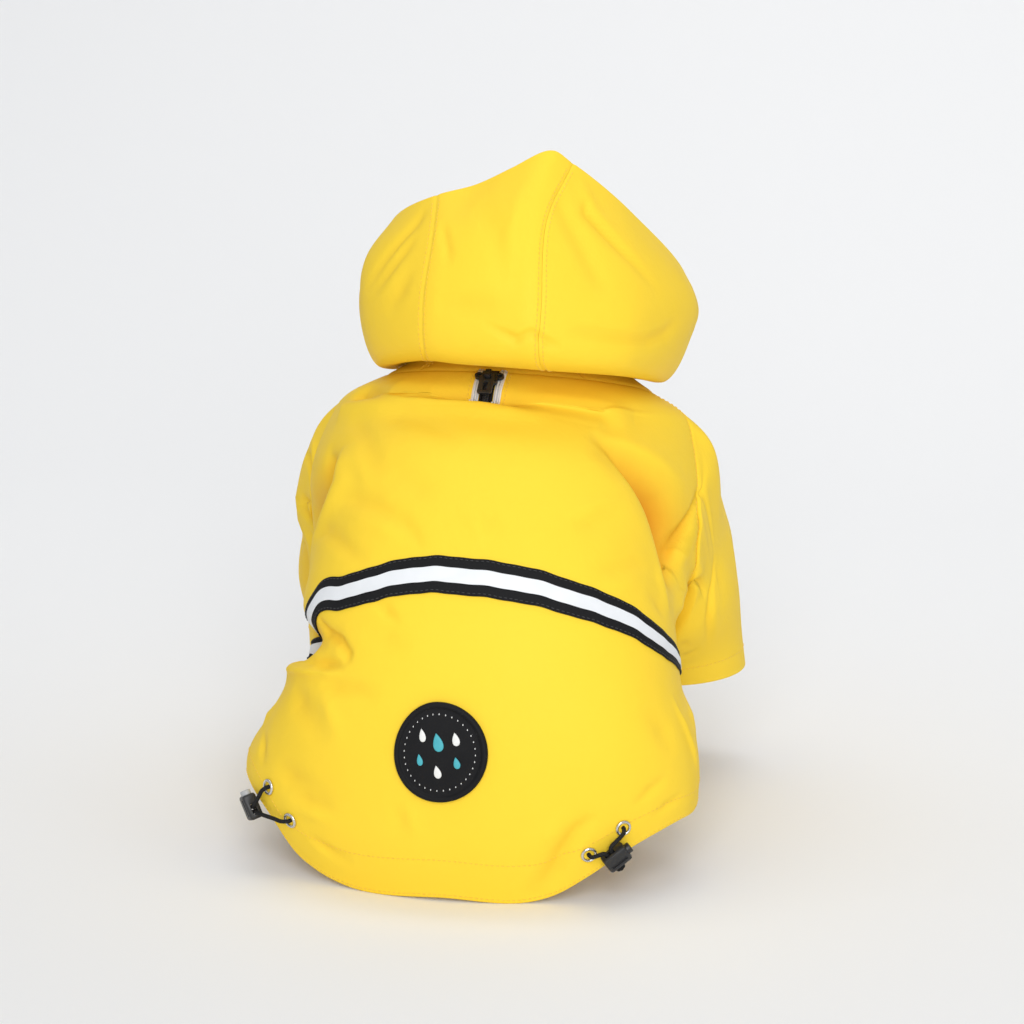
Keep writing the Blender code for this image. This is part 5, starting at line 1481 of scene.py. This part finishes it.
class Finish:
    """One material. Constants are set on its shader's own sockets, and drive() links what varies."""

    def __init__(self, name, **constants):
        self.material = bpy.data.materials.new(name)
        self.material.use_nodes = True
        self.tree = self.material.node_tree
        self.shader = self.tree.nodes["Principled BSDF"]
        sockets = {socket.name.lower().replace(" ", "_"): socket for socket in self.shader.inputs}
        for key, value in constants.items():
            sockets[key].default_value = value

    def node(self, kind, inputs=None, out=0, **settings):
        made = self.tree.nodes.new(kind)
        for key, value in settings.items():
            setattr(made, key, value)
        for key, value in (inputs or {}).items():
            if isinstance(value, Number):
                self.tree.links.new(value.socket, made.inputs[key])
            else:
                made.inputs[key].default_value = value
        return Number(self, made.outputs[out])

    def place(self):
        """Object coordinates in metres."""
        return self.node("ShaderNodeTexCoord", out="Object")

    def on_cloth(self):
        """Ways across and along the cloth, in millimetres."""
        uv = self.node("ShaderNodeUVMap", uv_map="cloth")
        return [self.node("ShaderNodeSeparateXYZ", {0: uv}, out=k) * 1000.0 for k in (0, 1)]

    def noise(self, size, detail=2.0):
        """Smooth noise from 0 to 1 whose lumps are about size millimetres."""
        inputs = {"Vector": self.place(), "Scale": 1000.0 / size, "Detail": detail}
        return self.node("ShaderNodeTexNoise", inputs)

    def blend(self, share, first, second):
        """A colour share of the way from first to second."""
        inputs = {0: share, 6: first, 7: second}
        return self.node("ShaderNodeMix", inputs, out=2, data_type="RGBA", blend_type="MIX")

    def drive(self, socket, value):
        self.tree.links.new(value.socket, self.shader.inputs[socket])

    def look(self, tone, low, high, rough=None, height=None, deep=0.0):
        """Colour from low to high with tone, a roughness and a bump of height times deep mm."""
        self.drive("Base Color", self.blend(tone, low, high))
        if rough is not None:
            self.drive("Roughness", rough)
        if height is not None:
            inputs = {"Height": height, "Distance": deep * MM, "Strength": 1.0}
            self.drive("Normal", self.node("ShaderNodeBump", inputs))

    def give(self, *pieces):
        for made in pieces:
            made.data.materials.clear()
            made.data.materials.append(self.material)


def rgb(*colour):
    return (*colour, 1.0)


# %% [markdown]
# ## Finishes
# The shell is a light plain-weave polyester with a waterproof coat: a saturated warm yellow, a
# soft sheen rather than a gloss, and a faint crinkle. Its weave is finer than half a millimetre,
# so it is bump and never geometry. In the deep folds shade is painted into its colour, which
# turns toward a dark orange there.

# %% Yellow cloth
# Painted shade: each millimetre of fold depth moves the colour this share of the way to a dark orange.
PAINTED_SHADE_TINT = 0.044
shell_finish = Finish("yellow coated cloth", specular_ior_level=0.1)
across, along = shell_finish.on_cloth()
weave = across.ripple(0.7) * along.ripple(0.7)
crinkle = shell_finish.noise(9.0, detail=3.0) * 0.5 + shell_finish.noise(2.2) * 0.12
# The fold depth stored on the cloth, read back for the painted shade.
painted_shade_depth = shell_finish.node("ShaderNodeAttribute", out=2, attribute_name="painted_shade_depth")
tone = shell_finish.noise(55.0, detail=3.0)
shell_finish.look(
    (painted_shade_depth * PAINTED_SHADE_TINT).clipped(),
    shell_finish.blend(tone, rgb(0.93, 0.63, 0.040), rgb(0.95, 0.66, 0.048)),
    rgb(0.74, 0.30, 0.018),
    rough=0.48 + 0.14 * shell_finish.noise(14.0),
    height=weave * 0.025 + crinkle,
    deep=0.5,
)
shell_finish.give(back, front, sleeve_right, sleeve_left, hood_left, hood_centre, hood_right)

# %% Threads
thread_finish = Finish("yellow thread", roughness=0.55, sheen_weight=0.2)
thread_finish.look(thread_finish.noise(0.3), rgb(0.80, 0.47, 0.02), rgb(0.97, 0.66, 0.05))
thread_finish.give(*[sewn[name] for name in (*YELLOW_LINES, *ZIP_LINES)])
black_thread = Finish("black thread", roughness=0.6)
black_thread.look(black_thread.noise(0.4), rgb(0.012, 0.012, 0.013), rgb(0.05, 0.05, 0.055))
black_thread.give(*[sewn[name] for name in BLACK_LINES])

# %% Black tape
tape_finish = Finish("black woven tape", specular_ior_level=0.18)
across, along = tape_finish.on_cloth()
ribs = across.ripple(0.9) * 0.5 + along.ripple(0.55) * 0.25
lint = tape_finish.noise(3.0, detail=4.0)
tape_finish.look(
    lint,
    rgb(0.005, 0.005, 0.006),
    rgb(0.012, 0.012, 0.013),
    rough=0.62 + 0.2 * lint,
    height=ribs * 0.5 + lint * 0.3,
    deep=0.12,
)
tape_finish.give(band, zip_tape)

# %% Bright tape
# Reflective tape is a grey fabric full of glass beads: near white from the light's side, with a
# faint grain.
bright_finish = Finish("bright reflective tape", specular_ior_level=0.5)
across, along = bright_finish.on_cloth()
beads = bright_finish.noise(0.5, detail=1.0)
cells = across.ripple(1.2) * along.ripple(1.2)
bright_finish.look(
    bright_finish.noise(12.0, detail=5.0),
    rgb(0.70, 0.72, 0.74),
    rgb(0.84, 0.86, 0.88),
    rough=0.34 + 0.2 * beads,
    height=beads * 0.4 + cells * 0.1,
    deep=0.08,
)
bright_finish.give(stripe, zip_left, zip_right)


# %% Rubber, plastic and metal
def mottled(name, mottle, low, high, rough, deep, grain=None, **constants):
    """A hard finish: one noise gives its colour and roughness, and it or a finer one its bump.

    mottle and grain are each the size and detail of a noise, and rough is a least and a spread.
    """
    made = Finish(name, **constants)
    tone = made.noise(*mottle)
    height = made.noise(*grain) if grain else tone
    made.look(tone, low, high, rough=rough[0] + rough[1] * tone, height=height, deep=deep)
    return made


black_rubber = mottled(
    "black moulded rubber",
    (9.0, 4.0),
    rgb(0.006, 0.006, 0.007),
    rgb(0.014, 0.014, 0.015),
    rough=(0.48, 0.22),
    deep=0.05,
    grain=(0.8, 3.0),
    specular_ior_level=0.12,
)
black_rubber.give(badge)
for name, pieces, low, high in (
    ("white rubber", (white_drops, badge_dots), rgb(0.74, 0.74, 0.72), rgb(0.82, 0.82, 0.80)),
    ("teal rubber", (teal_drops,), rgb(0.05, 0.36, 0.42), rgb(0.07, 0.43, 0.50)),
):
    tint = mottled(name, (2.0, 3.0), low, high, (0.45, 0.15), 0.04, specular_ior_level=0.4)
    tint.give(*pieces)
black_plastic = mottled(
    "black moulded plastic",
    (5.0, 5.0),
    rgb(0.010, 0.010, 0.011),
    rgb(0.020, 0.020, 0.021),
    rough=(0.30, 0.25),
    deep=0.03,
    grain=(0.35, 2.0),
)
black_plastic.give(teeth, *[made for node, made in mouldings.items() if node != "button_left"])
greys = rgb(0.36, 0.37, 0.38), rgb(0.46, 0.47, 0.48)
grey_plastic = mottled("grey moulded plastic", (4.0, 5.0), *greys, (0.35, 0.2), 0.03)
grey_plastic.give(mouldings["button_left"])
greys = rgb(0.58, 0.57, 0.55), rgb(0.74, 0.73, 0.71)
nickel = mottled("brushed nickel", (1.5, 5.0), *greys, (0.16, 0.2), 0.03, metallic=1.0)
nickel.give(*eyelets)

# %% Braided cord
PLAIT = 4 / CORD_RADIUS
cord_finish = Finish("black braided cord", specular_ior_level=0.2)
across, along = cord_finish.on_cloth()
plait = (across * PLAIT + along * PLAIT).sine() * (across * PLAIT - along * PLAIT).sine()
fuzz = cord_finish.noise(0.4, detail=3.0)
cord_finish.look(
    (0.5 + 0.5 * plait) * fuzz,
    rgb(0.006, 0.006, 0.006),
    rgb(0.035, 0.035, 0.037),
    rough=0.6 + 0.2 * fuzz,
    height=plait * 0.6 + fuzz * 0.4,
    deep=0.15,
)
cord_finish.give(*cords)
print(len(bpy.data.materials), "finishes")

# %% [markdown]
# ## Stage, light and camera
# A pale floor that rises behind the coat, a large soft light and a lower one both near the
# camera's side, a weak one from above, one more on the backdrop and an even sky. The camera is far
# off with a long lens, slightly above the coat.

# %% Floor
low_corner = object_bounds()[0]
rise = np.linspace(0, math.pi / 2, 40)
track = [(-4.0, 0.0), *zip(0.7 + 2.2 * np.sin(rise), 2.2 - 2.2 * np.cos(rise)), (2.9, 5.0)]
floor_points = [(x, y, float(low_corner.z) + z) for y, z in track for x in (-4.0, 4.0)]
floor_mesh = bpy.data.meshes.new("floor")
floor_faces = quads(np.arange(len(floor_points)).reshape(-1, 2)).tolist()
floor_mesh.from_pydata(floor_points, [], floor_faces)
floor_mesh.shade_smooth()
floor = bpy.data.objects.new("floor", floor_mesh)
bpy.context.scene.collection.objects.link(floor)
pale = rgb(0.86, 0.86, 0.86)
floor_finish = Finish("pale floor", base_color=pale, roughness=0.9, specular_ior_level=0.1)
floor_finish.give(floor)

# %% Light
AIM = Vector((0.0154, 0.0235, -0.0385))


def way_to(azimuth, elevation):
    """The way out from the coat in degrees, azimuth 0 being straight behind it."""
    a, e = math.radians(azimuth), math.radians(elevation)
    return Vector((math.sin(a) * math.cos(e), -math.cos(a) * math.cos(e), math.sin(e)))


def soft_light(name, azimuth, elevation, distance, size, power, target=AIM):
    """A square area light aimed at target."""
    away = way_to(azimuth, elevation)
    lamp = bpy.data.lights.new(name, "AREA")
    lamp.size = size
    lamp.energy = power
    made = bpy.data.objects.new(name, lamp)
    made.location = target + away * distance
    made.rotation_euler = (-away).to_track_quat("-Z", "Y").to_euler()
    bpy.context.scene.collection.objects.link(made)
    return made


soft_light("key light", 12, 32, 2.2, 1.0, 16.5)
soft_light("low light", 18, 12, 2.3, 0.9, 15.0)
soft_light("top light", 10, 85, 2.0, 1.5, 4.0)
soft_light("backdrop light", 0, 25, 2.6, 1.8, 22.0, target=Vector((0.0, 2.8, 0.7)))
world = bpy.data.worlds.new("studio")
world.use_nodes = True
world.node_tree.nodes["Background"].inputs["Color"].default_value = (0.95, 0.97, 1.0, 1.0)
world.node_tree.nodes["Background"].inputs["Strength"].default_value = 0.5
bpy.context.scene.world = world
bpy.context.scene.view_settings.view_transform = "Standard"

# %% Camera
AWAY = 2.0
toward_camera = way_to(12.0, 15.0)
lens = bpy.data.cameras.new("camera")
lens.sensor_width = 36.0
lens.lens = 140.6
camera = bpy.data.objects.new("camera", lens)
camera.location = AIM + toward_camera * AWAY
camera.rotation_euler = (-toward_camera).to_track_quat("-Z", "Y").to_euler()
bpy.context.scene.collection.objects.link(camera)
bpy.context.scene.camera = camera

# %% Sheets and their sizes
def rows_of(*starts):
    """The rows of stitches whose names start so."""
    return [made for name, made in sewn.items() if name.startswith(starts)]


tapes = [band, stripe, zip_tape, zip_left, zip_right, teeth]
badge_pieces = [badge, white_drops, teal_drops, badge_dots]
back_rows = rows_of("hem_", "raglan_back", "side", "band", "zip_")
# Each sheet: its flat width and length, its area and the pieces that lie on it
SHEETS = (
    (back, (0.384, 0.306), 0.0887, tapes + badge_pieces + back_rows),
    (front, (0.249, 0.291), 0.0438, rows_of("raglan_front")),
    (sleeve_right, (0.336, 0.184), 0.0249, rows_of("cuff_right")),
    (sleeve_left, (0.334, 0.188), 0.0262, rows_of("cuff_left")),
    (hood_left, (0.257, 0.160), 0.0194, rows_of("hood_left_outer")),
    (hood_centre, (0.092, 0.194), 0.0114, rows_of("hood_left_inner", "hood_right_inner")),
    (hood_right, (0.274, 0.193), 0.0233, rows_of("hood_right_outer")),
)
bpy.context.view_layer.update()
